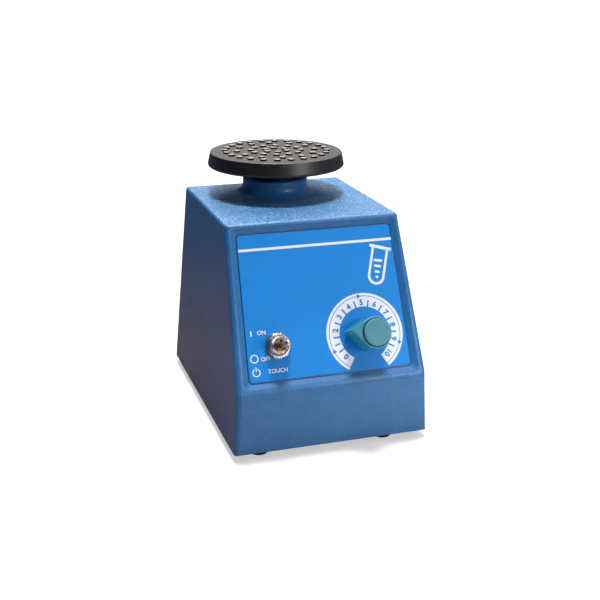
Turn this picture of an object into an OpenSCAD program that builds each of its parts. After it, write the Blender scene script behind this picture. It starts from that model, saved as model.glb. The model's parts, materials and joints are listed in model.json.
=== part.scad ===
// Vortex mixer: a sloped metal housing on rubber feet, a sprung motor inside it, and a round
// rubber-covered platform that a small eccentric drives in a circle without turning it.
// Origin: on the standing surface, under the middle of the whole mixer. +X right, +Y back, +Z up.

/* [Housing] */
// Width of the housing at its lower edge
housing_w = 124; // [112:1:150]
// Width of the housing at its top face
housing_top_w = 110; // [98:1:122]
// Depth of the housing at its lower edge
housing_d = 172; // [165:1:200]
// How far the back face leans in between the lower edge and the top face
back_lean = 20; // [8:1:24]
// Height of the upright front skirt
skirt_h = 37.5; // [30:0.5:44]
// Height of the housing from its lower edge to its top face
housing_h = 129.5; // [126:0.5:160]
// Distance of the top face's front edge behind the front skirt
top_setback = 41.5; // [34:0.5:50]
// Wall thickness of the housing
wall = 3.6; // [3.4:0.1:5]
// Radius of the upright corners and of the edges of the front
corner_r = 4.5; // [3:0.5:6]
// Radius of the edges around the top face
top_edge_r = 2.5; // [1.5:0.5:4]

/* [Collar] */
// Outer radius of the collar on the top face
collar_r = 21.5; // [20:0.5:25]
// Height of the collar above the top face
collar_h = 10; // [7:0.5:11]
// Radius of the bore through the collar
collar_bore_r = 17; // [16.5:0.25:18.5]
// Radius of the fillet at the foot of the collar
collar_fillet = 4; // [2:0.5:6]

/* [Control panel] */
// Width of the panel plate at its lower edge
panel_w_low = 102; // [92:0.5:104]
// Width of the panel plate at its upper edge
panel_w_high = 97; // [86:0.5:98]
// Distance up the slope from the bend to the panel plate
panel_start = 7.4; // [6.5:0.2:9]
// Length of the panel plate along the slope
panel_len = 87.2; // [80:0.2:88]
// Thickness of the panel plate
panel_t = 0.8; // [0.5:0.1:1.2]
// Corner radius of the panel plate
panel_corner = 2.5; // [1:0.5:5]
// Depth of the pocket that the panel plate lies in
pocket_depth = 2; // [1.5:0.1:2.2]
// How far the pocket's sloped rim reaches beyond the plate
pocket_rim = 4.6; // [3:0.2:5]
// Gap around the panel plate at the pocket's floor
panel_gap = 0.4; // [0.2:0.1:0.8]

/* [Feet and base] */
// Height of the housing's lower edge above the surface it stands on
foot_h = 4.5; // [3:0.5:8]
// Radius of a rubber foot at its top
foot_r = 6.6; // [5:0.2:8]
// Distance of the left feet from the housing's left side
foot_left = 18; // [16:0.5:23]
// Distance of the right feet from the housing's right side
foot_right = 26; // [16:0.5:31]
// Distance of the feet from the front and back of the housing
foot_inset = 11.2; // [11:0.2:16]
// Thickness of the steel base plate
base_t = 1.5; // [1:0.1:2.5]
// How far the base plate is set up inside the housing's lower edge
base_recess = 1; // [0.6:0.1:2]
// Gap around the base plate
base_gap = 0.5; // [0.3:0.1:1]

/* [Platform] */
// Radius of the rubber cover at its top edge
cover_top_r = 43.4; // [38:0.5:50]
// Radius of the rubber cover at its lower edge
cover_low_r = 45.5; // [40:0.5:52]
// Height of the rubber cover
cover_h = 9.3; // [8:0.1:14]
// Thickness of the rubber over the platform plate
cover_t = 2.5; // [1.5:0.1:4]
// Height of the cover's lower edge above the collar
cover_lift = 8; // [7.6:0.1:12]
// Radius of the platform plate under the cover
plate_r = 41; // [36:0.5:41.5]
// Thickness of the platform plate
plate_t = 3; // [2:0.1:3.4]
// Radius of one grip nub on the cover
nub_r = 2.1; // [1.2:0.1:2.2]
// Height of the grip nubs
nub_h = 1.1; // [0.5:0.1:2]
// Radius of the platform's hub where it shows above the collar
hub_r = 21; // [19:0.5:24]
// Radius of the hub's stem inside the collar
stem_r = 13; // [12.6:0.1:13.6]
// Free height between the collar and the hub
hub_lift = 2.6; // [2.4:0.1:4]

/* [Drive] */
// Distance of the motor's axis from the back of the housing, at its lower edge
axis_back = 49.5; // [47:0.5:51]
// Offset of the platform's axis from the motor's axis
orbit = 2.25; // [1.5:0.05:2.8]
// How far the head goes down when a tube is pressed on it
press_travel = 2; // [1:0.1:2]
// Radius of the motor's shaft
shaft_r = 3; // [2.5:0.1:3.5]
// Outer radius of the motor
motor_r = 28; // [27:0.5:29]
// Height of the motor's laminated core
core_h = 26; // [22:0.5:28]
// Width of a rotor's air gap
air_gap = 0.3; // [0.2:0.05:0.5]
// Radius of the counterweight
weight_r = 22; // [18:0.5:24]
// Thickness of the motor's steel bracket
bracket_t = 2.5; // [2:0.1:4]
// Height of the bracket's underside above the surface the mixer stands on
bracket_z = 33; // [32:0.5:36]
// Radius of a guide post
post_r = 3; // [2.5:0.1:3.5]
// Distance of the guide posts from the motor's axis, across
post_x = 38; // [36.5:0.5:40]
// Distance of the guide posts from the motor's axis, front to back
post_y = 18; // [14:0.5:20]
// Wire radius of a return spring
spring_wire = 0.5; // [0.3:0.05:0.6]
// Turns of a return spring
spring_turns = 6; // [4:1:8]

/* [Speed knob] */
// Place of the knob, to the right of the centre line
knob_x = 25.6; // [20:0.2:28]
// Place of the knob, up the slope from the bend
knob_v = 28.4; // [27:0.2:36]
// Radius of the knob's round body at its foot
knob_r = 10; // [9.8:0.1:12]
// Distance of the knob's pointer tip from its axis, at its foot
pointer_len = 15.8; // [13:0.1:16]
// Height of the knob's body above the panel plate
knob_h = 15.4; // [14.8:0.2:20]
// Radius of the cap set in the knob
cap_r = 8.2; // [7:0.1:8.8]
// How far the cap stands above the knob's body
cap_rise = 2.2; // [1:0.1:4]
// Angle of the pointer at rest, from the right, counter-clockwise
pointer_angle = 168.5; // [0:0.5:359]

/* [Power switch] */
// Place of the switch, to the left of the centre line
switch_x = 31.6; // [28:0.2:36]
// Place of the switch, up the slope from the bend
switch_v = 27.6; // [27:0.2:36]
// Radius of the switch's threaded bushing
bushing_r = 6; // [5.5:0.1:6.2]
// Width across the flats of the switch's nut
nut_af = 14; // [13.6:0.2:16]
// Height of the lever's tip above the panel plate
lever_h = 24.3; // [20:0.1:28]
// Radius of the lever's round tip
lever_tip_r = 2.2; // [1.8:0.1:2.6]

/* [Mains inlet] */
// Height of the inlet's middle above the housing's lower edge
inlet_z = 15.2; // [15:0.1:15.6]
// Place of the inlet, from the centre line
inlet_x = 16; // [15.5:0.1:16.5]

/* [Clearances] */
// Radial clearance of a shaft or pin that turns or slides in a hole
run_gap = 0.05; // [0.02:0.01:0.09]
// Clearance of a piece that sits in a hole
fit_gap = 0.1; // [0.05:0.05:0.2]
// Clearance of a piece that is pressed or screwed on
press_gap = 0.02; // [0.01:0.01:0.04]

/* [Hidden] */
$fn = 48;

// Slopes of the housing, and its levels above the standing surface
rim_z = foot_h;
bend_z = rim_z + skirt_h;
top_z = rim_z + housing_h;
slope_a = atan2(top_setback, housing_h - skirt_h);
back_a = atan2(back_lean, housing_h);
side_k = (housing_w - housing_top_w) / 2 / housing_h;
axis_y = housing_d - axis_back;

// Knob and lever stand furthest forward and the fuse cap furthest back; the origin is midway
knob_base = panel_t - pocket_depth;
cap_top = knob_base + knob_h + cap_rise;
lever_tip = knob_base + lever_h;
knob_reach = cap_top * cos(slope_a) + (cap_r - knob_v) * sin(slope_a);
lever_reach = (lever_tip - lever_tip_r) * cos(slope_a) + lever_tip_r - switch_v * sin(slope_a);
fuse_r = 6;
fuse_cap_h = 4;
fuse_reach = housing_d - inlet_z * tan(back_a) + fuse_cap_h * cos(back_a) + fuse_r * sin(back_a);
mid_y = (max(housing_d, fuse_reach) - max(knob_reach, lever_reach)) / 2;

// Levels of the base plate
base_low = rim_z + base_recess;
base_z = base_low + base_t;
boss_r = 4.6;
boss_x = housing_w / 2 - wall - boss_r + 0.6;
boss_y = wall + boss_r - 0.6;
boss_h = 16;
screw_r = 1.5;
pilot_r = 1.25;
head_r = 2.9;
head_h = 1.8;
foot_bore_r = 3.4;

// Levels of the drive, from the guide posts up to the platform
post_flange_h = 2;
post_flange_r = 6.5;
bush_flange = 1.5;
bush_r = 5.5;
bush_flange_r = 7;
bush_low = bracket_z - bush_flange;
bush_top = bracket_z + bracket_t + bush_flange;
stop_h = 3;
bell_t = 3;
bell_h = 10.5;
bell_z = bracket_z + bracket_t;
core_z = bell_z + bell_h;
core_top = core_z + core_h;
bell_top = core_top + bell_h;
core_bore = 17;
rotor_r = core_bore - air_gap;
ear_r = 4.5;
ear_at = motor_r + 2.5;
bolt_r = 1.6;
motor_bearing_r = 9.5;
motor_bearing_w = 6;
bearing_set = 1.5;
weight_gap = 3;
weight_h = 8;
weight_z = bell_top + weight_gap;
eccentric_r = 10;
eccentric_z = weight_z + weight_h + 2;
eccentric_h = 14;
shaft_low = base_z + 7;
shaft_top = eccentric_z + 9;

// Levels of the head
collar_top = top_z + collar_h;
cover_low = collar_top + cover_lift;
cover_top = cover_low + cover_h;
plate_top = cover_top - cover_t;
plate_low = plate_top - plate_t;
hub_low = collar_top + hub_lift;
head_bearing_r = 11;
head_bearing_w = 7;
pin_r = 4;
pin_top = hub_low + 1;
upper_bearing_z = pin_top - 0.5 - head_bearing_w;
lower_bearing_z = upper_bearing_z - 12;
stem_low = lower_bearing_z - 1.8;
head_y = axis_y - orbit;
plate_screw_at = 16;
spacer_r = 5.6;

// Rings of grip nubs: radius as a share of the plate's, number, and angle of the first
nub_rings = [[0.18, 6, 24], [0.40, 12, 15], [0.63, 12, 23], [0.82, 24, 0]];

// Rings of a ball bearing, as shares of its outer radius: inside of the outer ring, outside of
// the inner ring
race_out = 0.78;
race_in = 0.62;

// Slots of the stator, for its windings
slots = 12;
slot_w = 3.6;
slot_in = core_bore + 1.8;
slot_out = core_bore + 7;

// Speed control: potentiometer behind the panel
pot_bushing_r = 4.5;
pot_shaft_r = 3;
pot_r = 12;
pot_h = 10;
pot_nut_h = 2;
knob_lift = 1.2;
knob_cavity_h = 4;
knob_draft = 0.3;
cap_set = 3;
cap_gap = 0.7;
shaft_in_knob = 10;

// Toggle switch behind the panel
switch_w = 14;
switch_l = 29;
switch_h = 20;
bushing_top = knob_base + 7;
nut_h = 2.4;
washer_t = 0.6;
ball_r = 3.4;
lever_pivot = bushing_top - 4.2;
pivot_r = 0.8;
pivot_l = 10;
neck_r = 1.5;
terminal_l = 7;
terminal_v = 9;
terminal_z = wall + switch_h + terminal_l;

// Mains inlet in the back face: flange, body, socket and three pins
inlet_flange = [50, 24];
inlet_flange_t = 2;
inlet_body = [28, 20];
inlet_body_h = 17.5;
inlet_hole = [24.6, 16.6];
inlet_depth = 16.5;
inlet_screw_at = 20;
inlet_tail = 4.5;
pin_places = [[-7, -2], [7, -2], [0, 2]];
pin = [2, 4];
fuse_x = -21;
fuse_l = 26;
fuse_flange_h = 2;

// Control board on the base plate, in front of the motor, and what stands on it
board = [64, 40, 1.6];
board_y = 48;
board_z = base_z + 8;
board_hole = 4;
sink = [22, 2, 20];
sink_at = [-16, 6];
fin = [2, 7];
fins = 5;
triac_body = [10, 4.4, 15];
triac_leg = 3;
film_body = [18, 9, 14];
film_at = [12, 6];
block = [30, 8, 10];
block_at = [4, -13];
block_pitch = 5.6;

// Micro switch under the bracket
micro = [20, 6.4, 10];
micro_x = 0;
micro_y = 24;
plunger_r = 1.4;
plunger_h = 3;
micro_top = bracket_z - fit_gap - plunger_h;

// Points in the housing's own frame: on the sloped front, and on the back face at the inlet
function slope_point(u, v, z) =
    [u, v * sin(slope_a) - z * cos(slope_a), bend_z + v * cos(slope_a) + z * sin(slope_a)];
function back_point(x, y, z) =
    [x, housing_d - inlet_z * tan(back_a) - y * sin(back_a) + z * cos(back_a),
    rim_z + inlet_z + y * cos(back_a) + z * sin(back_a)];

// Routes of the wires. Their ends stop a wire gap short of the fuse, the pins, the switch and the
// terminal block, and between them they run along the base and the sides.
wire_r = 1;
wire_gap = 0.3;
run_z = 12;
right_run = housing_w / 2 - 9;
left_run = 19 - housing_w / 2;
block_front = board_y + block_at[1] - block[1] / 2 - wire_gap;
block_first = block_at[0] - 2 * block_pitch;
block_last = block_at[0] + 2 * block_pitch;
block_wire_z = board_z + board[2] + 5;
fuse_to_switch = [
    back_point(fuse_x, 0, -fuse_l - wire_gap), back_point(fuse_x - 1, -0.6, -fuse_l - 4),
    [-25, housing_d - 37, run_z + 1], [-27, housing_d - 43, run_z], [-27, 100, run_z],
    [-28, 80, run_z], [-33, 72, 14], [left_run + 3, 68, 20], [left_run, 62, 32],
    [left_run + 3, 55, 44], [-33, 48, 51], slope_point(-switch_x, switch_v, -terminal_z - 5),
    slope_point(-switch_x, switch_v, -terminal_z - wire_gap)];
switch_to_board = [
    slope_point(-switch_x, switch_v - terminal_v, -terminal_z - wire_gap),
    slope_point(-switch_x, switch_v - terminal_v, -terminal_z - 5), [-34, 43, 39], [-37, 42, 31],
    [-36, 36, 25], [-29, 29, 22], [-18, 25.5, 21], [block_first - 2.8, 25.5, block_wire_z],
    [block_first, 27.5, block_wire_z], [block_first, block_front, block_wire_z]];
inlet_to_board = [
    back_point(inlet_x - pin_places[0][0], pin_places[0][1], -inlet_body_h - inlet_tail - wire_gap),
    back_point(inlet_x - pin_places[0][0] + 1.5, pin_places[0][1], -inlet_body_h - inlet_tail - 1.8),
    [30, housing_d - 22.5, 13.6], [right_run - 10, housing_d - 21, 13],
    [right_run - 2, housing_d - 26, run_z], [right_run, housing_d - 41, run_z],
    [right_run, 90, run_z], [right_run - 2, 62, run_z], [right_run - 8, 44, 17], [34, 30, 21],
    [22, 25.5, 21], [block_last + 1.8, 25.5, block_wire_z], [block_last, 27.5, block_wire_z],
    [block_last, block_front, block_wire_z]];

// ---- places ----

// From the housing's own frame (front skirt at y = 0) to the mixer's frame
module in_housing() { translate([0, -mid_y, 0]) children(); }

// On the motor's axis, at rest
module on_axis(z = 0) { in_housing() translate([0, axis_y, z]) children(); }

// On the platform's axis, at rest
module on_head(z = 0) { in_housing() translate([0, head_y, z]) children(); }

// On the sloped front: u across, v up the slope from the bend, z out of the slope
module on_slope(u = 0, v = 0, z = 0) {
    in_housing() translate([0, 0, bend_z]) rotate([90 - slope_a, 0, 0])
        translate([u, v, z]) children();
}

// On the back face: x across, y up the face, z out of the face
module on_back(x = 0, z = 0) {
    in_housing() translate([x, housing_d - (z - rim_z) * tan(back_a), z])
        rotate([90 - back_a, 0, 180]) children();
}

// The four corners of the base, mirrored in x and placed by y
module at_corners() {
    for (sx = [-1, 1], y = [boss_y, housing_d - boss_y])
        in_housing() translate([sx * boss_x, y, 0]) children();
}

module at_feet() {
    for (x = [foot_left - housing_w / 2, housing_w / 2 - foot_right])
        for (y = [foot_inset, housing_d - foot_inset]) in_housing() translate([x, y, 0]) children();
}

module at_posts() {
    for (sx = [-1, 1], sy = [-1, 1]) on_axis() translate([sx * post_x, sy * post_y, 0]) children();
}

module at_bolts() {
    for (q = [45 : 90 : 315]) on_axis() rotate([0, 0, q]) translate([ear_at, 0, 0]) children();
}

// ---- shapes ----

module ring(outer, inner, h) {
    difference() {
        cylinder(r = outer, h = h);
        translate([0, 0, -1]) cylinder(r = inner, h = h + 2);
    }
}

module slab(x, y, h) { translate([-x / 2, -y / 2, 0]) cube([x, y, h]); }

// A machine screw, head down at z = 0, its thread upwards
module screw(head, head_height, thread, length) {
    cylinder(r = head, h = head_height);
    translate([0, 0, head_height - 0.01]) cylinder(r = thread, h = length + 0.01);
}

// Ball bearing rings, the outer with a groove's worth of room to the inner
module bearing_outer(r, w) { ring(r, r * race_out, w); }
module bearing_inner(r, bore, w) { ring(r * race_in, bore, w); }

// Position of the housing's faces at height z, moved inwards by the distance inset
function half_w(z, inset) = housing_w / 2 - (z - rim_z) * side_k - inset;
function front_y(z, inset) = z <= bend_z - inset * tan(slope_a / 2)
    ? inset : (z - bend_z) * tan(slope_a) + inset / cos(slope_a);
function back_y(z, inset) = housing_d - (z - rim_z) * tan(back_a) - inset / cos(back_a);

// The housing's closed form, moved inwards by inset, from height low up to the top face
module housing_form(inset, low) {
    bend = bend_z - inset * tan(slope_a / 2);
    top = top_z - inset;
    r = max(corner_r - inset, 1);
    rt = max(top_edge_r - inset, 0.8);
    hull() {
        for (s = [-1, 1]) {
            for (y = [front_y(low, inset) + r, back_y(low, inset) - r])
                translate([s * (half_w(low, inset) - r), y, low]) cylinder(r = r, h = 0.01, $fn = 32);
            translate([s * (half_w(bend, inset) - r), inset + r, bend])
                sphere(r = r, $fn = 32);
            for (y = [front_y(top - rt, inset) + rt * 1.1, back_y(top - rt, inset) - rt])
                translate([s * (half_w(top - rt, inset) - rt), y, top - rt]) sphere(r = rt, $fn = 32);
        }
    }
}

// Outline on the slope, wider at its lower edge, grown by the distance grow
module panel_outline(grow) {
    r = panel_corner + grow;
    low = panel_w_low / 2 + grow - r;
    high = panel_w_high / 2 + grow - r;
    hull() for (s = [-1, 1]) {
        translate([s * low, panel_start - grow + r]) circle(r = r, $fn = 32);
        translate([s * high, panel_start + panel_len + grow - r]) circle(r = r, $fn = 32);
    }
}

module panel_pocket() {
    hull() {
        translate([0, 0, -pocket_depth]) linear_extrude(0.01) panel_outline(panel_gap);
        translate([0, 0, 0.5]) linear_extrude(0.01)
            panel_outline(panel_gap + pocket_rim * (pocket_depth + 0.5) / pocket_depth);
    }
}

// ---- housing and base ----

module collar_form() {
    rotate_extrude() difference() {
        translate([0, -wall]) square([collar_r + collar_fillet, collar_h + wall]);
        translate([collar_r + collar_fillet, collar_fillet]) circle(r = collar_fillet);
        translate([collar_r, collar_fillet]) square([collar_fillet + 1, collar_h]);
    }
}

module housing() {
    color([0.24, 0.42, 0.6]) difference() {
        union() {
            difference() {
                in_housing() housing_form(0, rim_z);
                in_housing() housing_form(wall, rim_z - 1);
            }
            on_axis(top_z) collar_form();
            intersection() {
                at_corners() translate([0, 0, base_z]) cylinder(r = boss_r, h = boss_h);
                in_housing() housing_form(1, rim_z);
            }
        }
        on_axis(top_z - wall - 1) cylinder(r = collar_bore_r, h = collar_h + wall + 2);
        on_slope() panel_pocket();
        on_slope(-switch_x, switch_v, -wall - 3) cylinder(r = bushing_r + fit_gap, h = 2 * wall);
        on_slope(knob_x, knob_v, -wall - 3) cylinder(r = pot_bushing_r + fit_gap, h = 2 * wall);
        at_corners() translate([0, 0, base_z - 1]) cylinder(r = pilot_r, h = boss_h);
        on_back(inlet_x, rim_z + inlet_z) {
            translate([0, 0, -wall - 1])
                slab(inlet_body[0] + 2 * fit_gap, inlet_body[1] + 2 * fit_gap, wall + 2);
            for (s = [-1, 1]) translate([s * inlet_screw_at, 0, -wall - 1])
                cylinder(r = screw_r + fit_gap, h = wall + 2);
        }
        on_back(fuse_x, rim_z + inlet_z) translate([0, 0, -wall - 1])
            cylinder(r = fuse_r + fit_gap, h = wall + 2);
    }
}

module base_plate() {
    inset = wall + base_gap;
    color([0.62, 0.64, 0.66]) difference() {
        in_housing() translate([0, 0, base_low]) linear_extrude(base_t) polygon([
            [-half_w(base_z, inset), inset], [half_w(base_z, inset), inset],
            [half_w(base_z, inset), back_y(base_z, inset)],
            [-half_w(base_z, inset), back_y(base_z, inset)]]);
        at_corners() translate([0, 0, base_low - 1]) cylinder(r = screw_r + fit_gap, h = base_t + 2);
        at_feet() translate([0, 0, base_low - 1]) cylinder(r = screw_r + fit_gap, h = base_t + 2);
        at_posts() translate([0, 0, base_low - 1]) cylinder(r = screw_r + fit_gap, h = base_t + 2);
        for (i = [-4 : 4]) on_axis(base_low - 1) translate([i * 6, 0, 0]) slab(2.5, 24, base_t + 2);
    }
}

module rubber_feet() {
    color([0.06, 0.06, 0.06]) at_feet() difference() {
        cylinder(r1 = foot_r * 0.86, r2 = foot_r, h = base_low);
        translate([0, 0, -1]) cylinder(r = foot_bore_r, h = base_low - 1);
        cylinder(r = screw_r + fit_gap, h = base_low + 1);
    }
}

module foot_screws() {
    color([0.75, 0.75, 0.76]) at_feet() translate([0, 0, base_low - 2 - head_h])
        screw(head_r, head_h, screw_r, base_t + 5);
}

module foot_nuts() {
    color([0.75, 0.75, 0.76]) at_feet() translate([0, 0, base_z]) difference() {
        cylinder(r = 3.1, h = 2.2, $fn = 6);
        translate([0, 0, -1]) cylinder(r = screw_r + press_gap, h = 5);
    }
}

// Screws through the base plate: four into the housing's bosses and four into the guide posts
module base_screw() {
    translate([0, 0, base_low - head_h]) screw(head_r, head_h, pilot_r - press_gap, base_t + 8);
}

module base_screws() {
    color([0.75, 0.75, 0.76]) {
        at_corners() base_screw();
        at_posts() base_screw();
    }
}

// ---- control panel ----

module panel_plate() {
    color([0.14, 0.52, 0.88]) difference() {
        on_slope(0, 0, -pocket_depth) linear_extrude(panel_t) panel_outline(0);
        on_slope(-switch_x, switch_v, -pocket_depth - 1)
            cylinder(r = bushing_r + fit_gap, h = panel_t + 2);
        on_slope(knob_x, knob_v, -pocket_depth - 1)
            cylinder(r = pot_bushing_r + fit_gap, h = panel_t + 2);
    }
}

// Round body with straight flanks that meet in a point, at radius r and pointer length p
module pointer_outline(r, p) {
    touch = acos(r / p);
    circle(r = r);
    polygon([[r * cos(touch), r * sin(touch)], [p, 0], [r * cos(touch), -r * sin(touch)], [0, 0]]);
}

module speed_knob() {
    color([0.16, 0.55, 0.58]) on_slope(knob_x, knob_v, knob_base + knob_lift)
        rotate([0, 0, pointer_angle]) difference() {
            hull() {
                linear_extrude(0.1) pointer_outline(knob_r, pointer_len);
                translate([0, 0, knob_h - knob_lift - 0.1])
                    linear_extrude(0.1) pointer_outline(knob_r - knob_draft, pointer_len - knob_draft);
            }
            translate([0, 0, knob_h - knob_lift - cap_set]) cylinder(r = cap_r + cap_gap, h = cap_set + 1);
            translate([0, 0, -1]) cylinder(r = pot_bushing_r + 3, h = knob_cavity_h + 1);
            translate([0, 0, -1]) cylinder(r = pot_shaft_r, h = shaft_in_knob + 1);
        }
}

module knob_cap() {
    chamfer = 0.6;
    cap_h = cap_rise + cap_set;
    color([0.25, 0.58, 0.62]) on_slope(knob_x, knob_v, knob_base + knob_h - cap_set)
        rotate_extrude() polygon([[0, 0], [cap_r, 0], [cap_r, cap_h - chamfer],
            [cap_r - chamfer, cap_h], [0, cap_h]]);
}

module pot_shaft() {
    top = knob_base + knob_lift + shaft_in_knob;
    low = -wall - 8;
    color([0.8, 0.8, 0.8]) on_slope(knob_x, knob_v, low) cylinder(r = pot_shaft_r, h = top - low);
}

module pot_body() {
    color([0.5, 0.42, 0.3]) on_slope(knob_x, knob_v, 0) difference() {
        union() {
            translate([0, 0, -wall - pot_h]) cylinder(r = pot_r, h = pot_h);
            translate([0, 0, -wall - 1]) cylinder(r = pot_bushing_r, h = wall + 1 + knob_base + 4);
            for (i = [-1, 0, 1]) translate([i * 5, -pot_r - 2, -wall - 6]) slab(1.4, 8, 0.6);
        }
        translate([0, 0, -wall - 8 - run_gap]) cylinder(r = pot_shaft_r + run_gap, h = wall + 20);
    }
}

module pot_nut() {
    color([0.8, 0.8, 0.8]) on_slope(knob_x, knob_v, knob_base) difference() {
        cylinder(r = 6.3, h = pot_nut_h, $fn = 6);
        translate([0, 0, -1]) cylinder(r = pot_bushing_r + press_gap, h = pot_nut_h + 2);
    }
}

// ---- power switch ----

module switch_body() {
    color([0.1, 0.1, 0.11]) on_slope(-switch_x, switch_v, -wall - switch_h) {
        slab(switch_w, switch_l, switch_h);
        for (i = [-1, 0, 1])
            translate([0, i * terminal_v, -terminal_l]) slab(4, 0.8, terminal_l + 0.01);
    }
}

module switch_bushing() {
    color([0.82, 0.8, 0.76]) on_slope(-switch_x, switch_v, -wall) difference() {
        cylinder(r = bushing_r, h = bushing_top + wall);
        translate([0, 0, 1]) cylinder(r = ball_r + run_gap, h = bushing_top + wall);
        translate([0, -bushing_r, wall + 1]) slab(1.6, 1.8, bushing_top + wall);
        translate([0, 0, wall + lever_pivot]) rotate([0, 90, 0])
            cylinder(r = pivot_r + run_gap, h = 2 * bushing_r + 2, center = true);
    }
}

module switch_washer() {
    color([0.8, 0.8, 0.8]) on_slope(-switch_x, switch_v, knob_base)
        ring(nut_af / 2 + 0.6, bushing_r + press_gap, washer_t);
}

module switch_nut() {
    color([0.84, 0.8, 0.72]) on_slope(-switch_x, switch_v, knob_base + washer_t) difference() {
        rotate([0, 0, 22]) cylinder(r = nut_af / sqrt(3), h = nut_h, $fn = 6);
        translate([0, 0, -1]) cylinder(r = bushing_r + press_gap, h = nut_h + 2);
    }
}

module switch_lever() {
    neck_top = bushing_top + 2;
    color([0.85, 0.83, 0.8]) on_slope(-switch_x, switch_v, 0) {
        translate([0, 0, lever_pivot]) sphere(r = ball_r);
        translate([0, 0, lever_pivot]) rotate([0, 90, 0])
            cylinder(r = pivot_r, h = pivot_l, center = true);
        translate([0, 0, lever_pivot]) cylinder(r = neck_r, h = neck_top - lever_pivot);
        translate([0, 0, neck_top - 0.01])
            cylinder(r1 = neck_r, r2 = lever_tip_r, h = lever_tip - lever_tip_r - neck_top + 0.01);
        translate([0, 0, lever_tip - lever_tip_r]) sphere(r = lever_tip_r);
    }
}

// ---- head: rubber cover, platform, hub and its bearings ----

module rubber_cover() {
    edge = 0.8;
    color([0.09, 0.085, 0.08]) on_head(cover_low) {
        difference() {
            rotate_extrude() polygon([[0, 0], [cover_low_r - edge, 0], [cover_low_r, edge],
                [cover_top_r, cover_h - edge], [cover_top_r - edge, cover_h], [0, cover_h]]);
            translate([0, 0, -1]) cylinder(r = plate_r + run_gap, h = cover_h - cover_t + 1);
        }
        for (row = nub_rings, i = [0 : row[1] - 1])
            rotate([0, 0, row[2] + i * 360 / row[1]]) translate([row[0] * plate_r, 0, cover_h - 0.5])
                cylinder(r = nub_r, h = nub_h + 0.5, $fn = 24);
    }
}

module platform_plate() {
    color([0.7, 0.71, 0.72]) on_head(plate_low) difference() {
        cylinder(r = plate_r, h = plate_t);
        for (q = [30 : 120 : 270]) rotate([0, 0, q]) translate([plate_screw_at, 0, -1]) {
            cylinder(r = screw_r + fit_gap, h = plate_t + 2);
            translate([0, 0, plate_t + 1 - head_h]) cylinder(r = head_r + fit_gap, h = head_h + 1);
        }
    }
}

module platform_hub() {
    color([0.08, 0.08, 0.085]) on_head() difference() {
        union() {
            translate([0, 0, hub_low]) cylinder(r = hub_r, h = plate_low - hub_low);
            translate([0, 0, stem_low]) cylinder(r = stem_r, h = plate_low - stem_low);
        }
        translate([0, 0, stem_low - 1])
            cylinder(r = head_bearing_r, h = upper_bearing_z + head_bearing_w - stem_low + 1);
        translate([0, 0, stem_low]) cylinder(r = head_bearing_r - 1.5, h = plate_low - stem_low + 1);
        for (q = [30 : 120 : 270]) rotate([0, 0, q]) translate([plate_screw_at, 0, hub_low + 1])
            cylinder(r = pilot_r, h = plate_low);
    }
}

module plate_screws() {
    color([0.75, 0.75, 0.76]) for (q = [30 : 120 : 270]) on_head(plate_top)
        rotate([0, 0, q]) translate([plate_screw_at, 0, 0]) mirror([0, 0, 1])
            screw(head_r, head_h, pilot_r - press_gap, plate_t + 2);
}

// Rubber ring that closes the gap between the stem and the collar
module dust_boot() {
    boot_z = collar_top - 4;
    color([0.05, 0.05, 0.05]) difference() {
        on_axis(boot_z) cylinder(r = collar_bore_r - fit_gap, h = 1.2);
        on_head(boot_z - 1) cylinder(r = stem_r + fit_gap, h = 4);
    }
}

module head_bearing_outers() {
    color([0.8, 0.81, 0.82]) for (z = [lower_bearing_z, upper_bearing_z])
        on_head(z) bearing_outer(head_bearing_r - press_gap, head_bearing_w);
}

module head_bearing_inners() {
    color([0.8, 0.81, 0.82]) for (z = [lower_bearing_z, upper_bearing_z])
        on_head(z) bearing_inner(head_bearing_r, pin_r + press_gap, head_bearing_w);
}

module bearing_spacer() {
    gap = upper_bearing_z - lower_bearing_z - head_bearing_w;
    color([0.7, 0.7, 0.7]) on_head(lower_bearing_z + head_bearing_w) ring(spacer_r, pin_r + press_gap, gap);
}

module hub_circlip() {
    color([0.3, 0.3, 0.32]) on_head(stem_low + 0.4) difference() {
        ring(head_bearing_r - press_gap, head_bearing_r - 1.8, 1.2);
        translate([0, -4, -1]) cube([head_bearing_r + 1, 8, 4]);
    }
}

module head_screw() {
    color([0.75, 0.75, 0.76]) on_head(pin_top) {
        cylinder(r = 6, h = 1);
        translate([0, 0, 0.99]) cylinder(r = 3.5, h = 2.6);
        translate([0, 0, -8]) cylinder(r = 1.9, h = 8.01);
    }
}

// ---- rotor: shaft, eccentric, counterweight and fan ----

module eccentric() {
    color([0.72, 0.72, 0.74]) difference() {
        union() {
            on_axis(eccentric_z) cylinder(r = eccentric_r, h = eccentric_h);
            on_head(eccentric_z + eccentric_h - 1)
                cylinder(r = pin_r, h = pin_top - eccentric_z - eccentric_h + 1);
            on_head(eccentric_z + eccentric_h - 0.5)
                cylinder(r = spacer_r, h = lower_bearing_z - eccentric_z - eccentric_h + 0.5);
        }
        on_axis(eccentric_z - 1) cylinder(r = shaft_r + press_gap, h = shaft_top - eccentric_z + 1.2);
        on_head(pin_top - 9) cylinder(r = 1.92, h = 10);
        on_axis(eccentric_z + 5) rotate([0, 90, 0]) cylinder(r = 2.02, h = eccentric_r + 1);
    }
}

module eccentric_screw() {
    from = shaft_r + 0.1;
    color([0.2, 0.2, 0.2]) on_axis(eccentric_z + 5) rotate([0, 90, 0]) translate([0, 0, from])
        cylinder(r = 2, h = eccentric_r - 0.5 - from);
}

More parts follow.
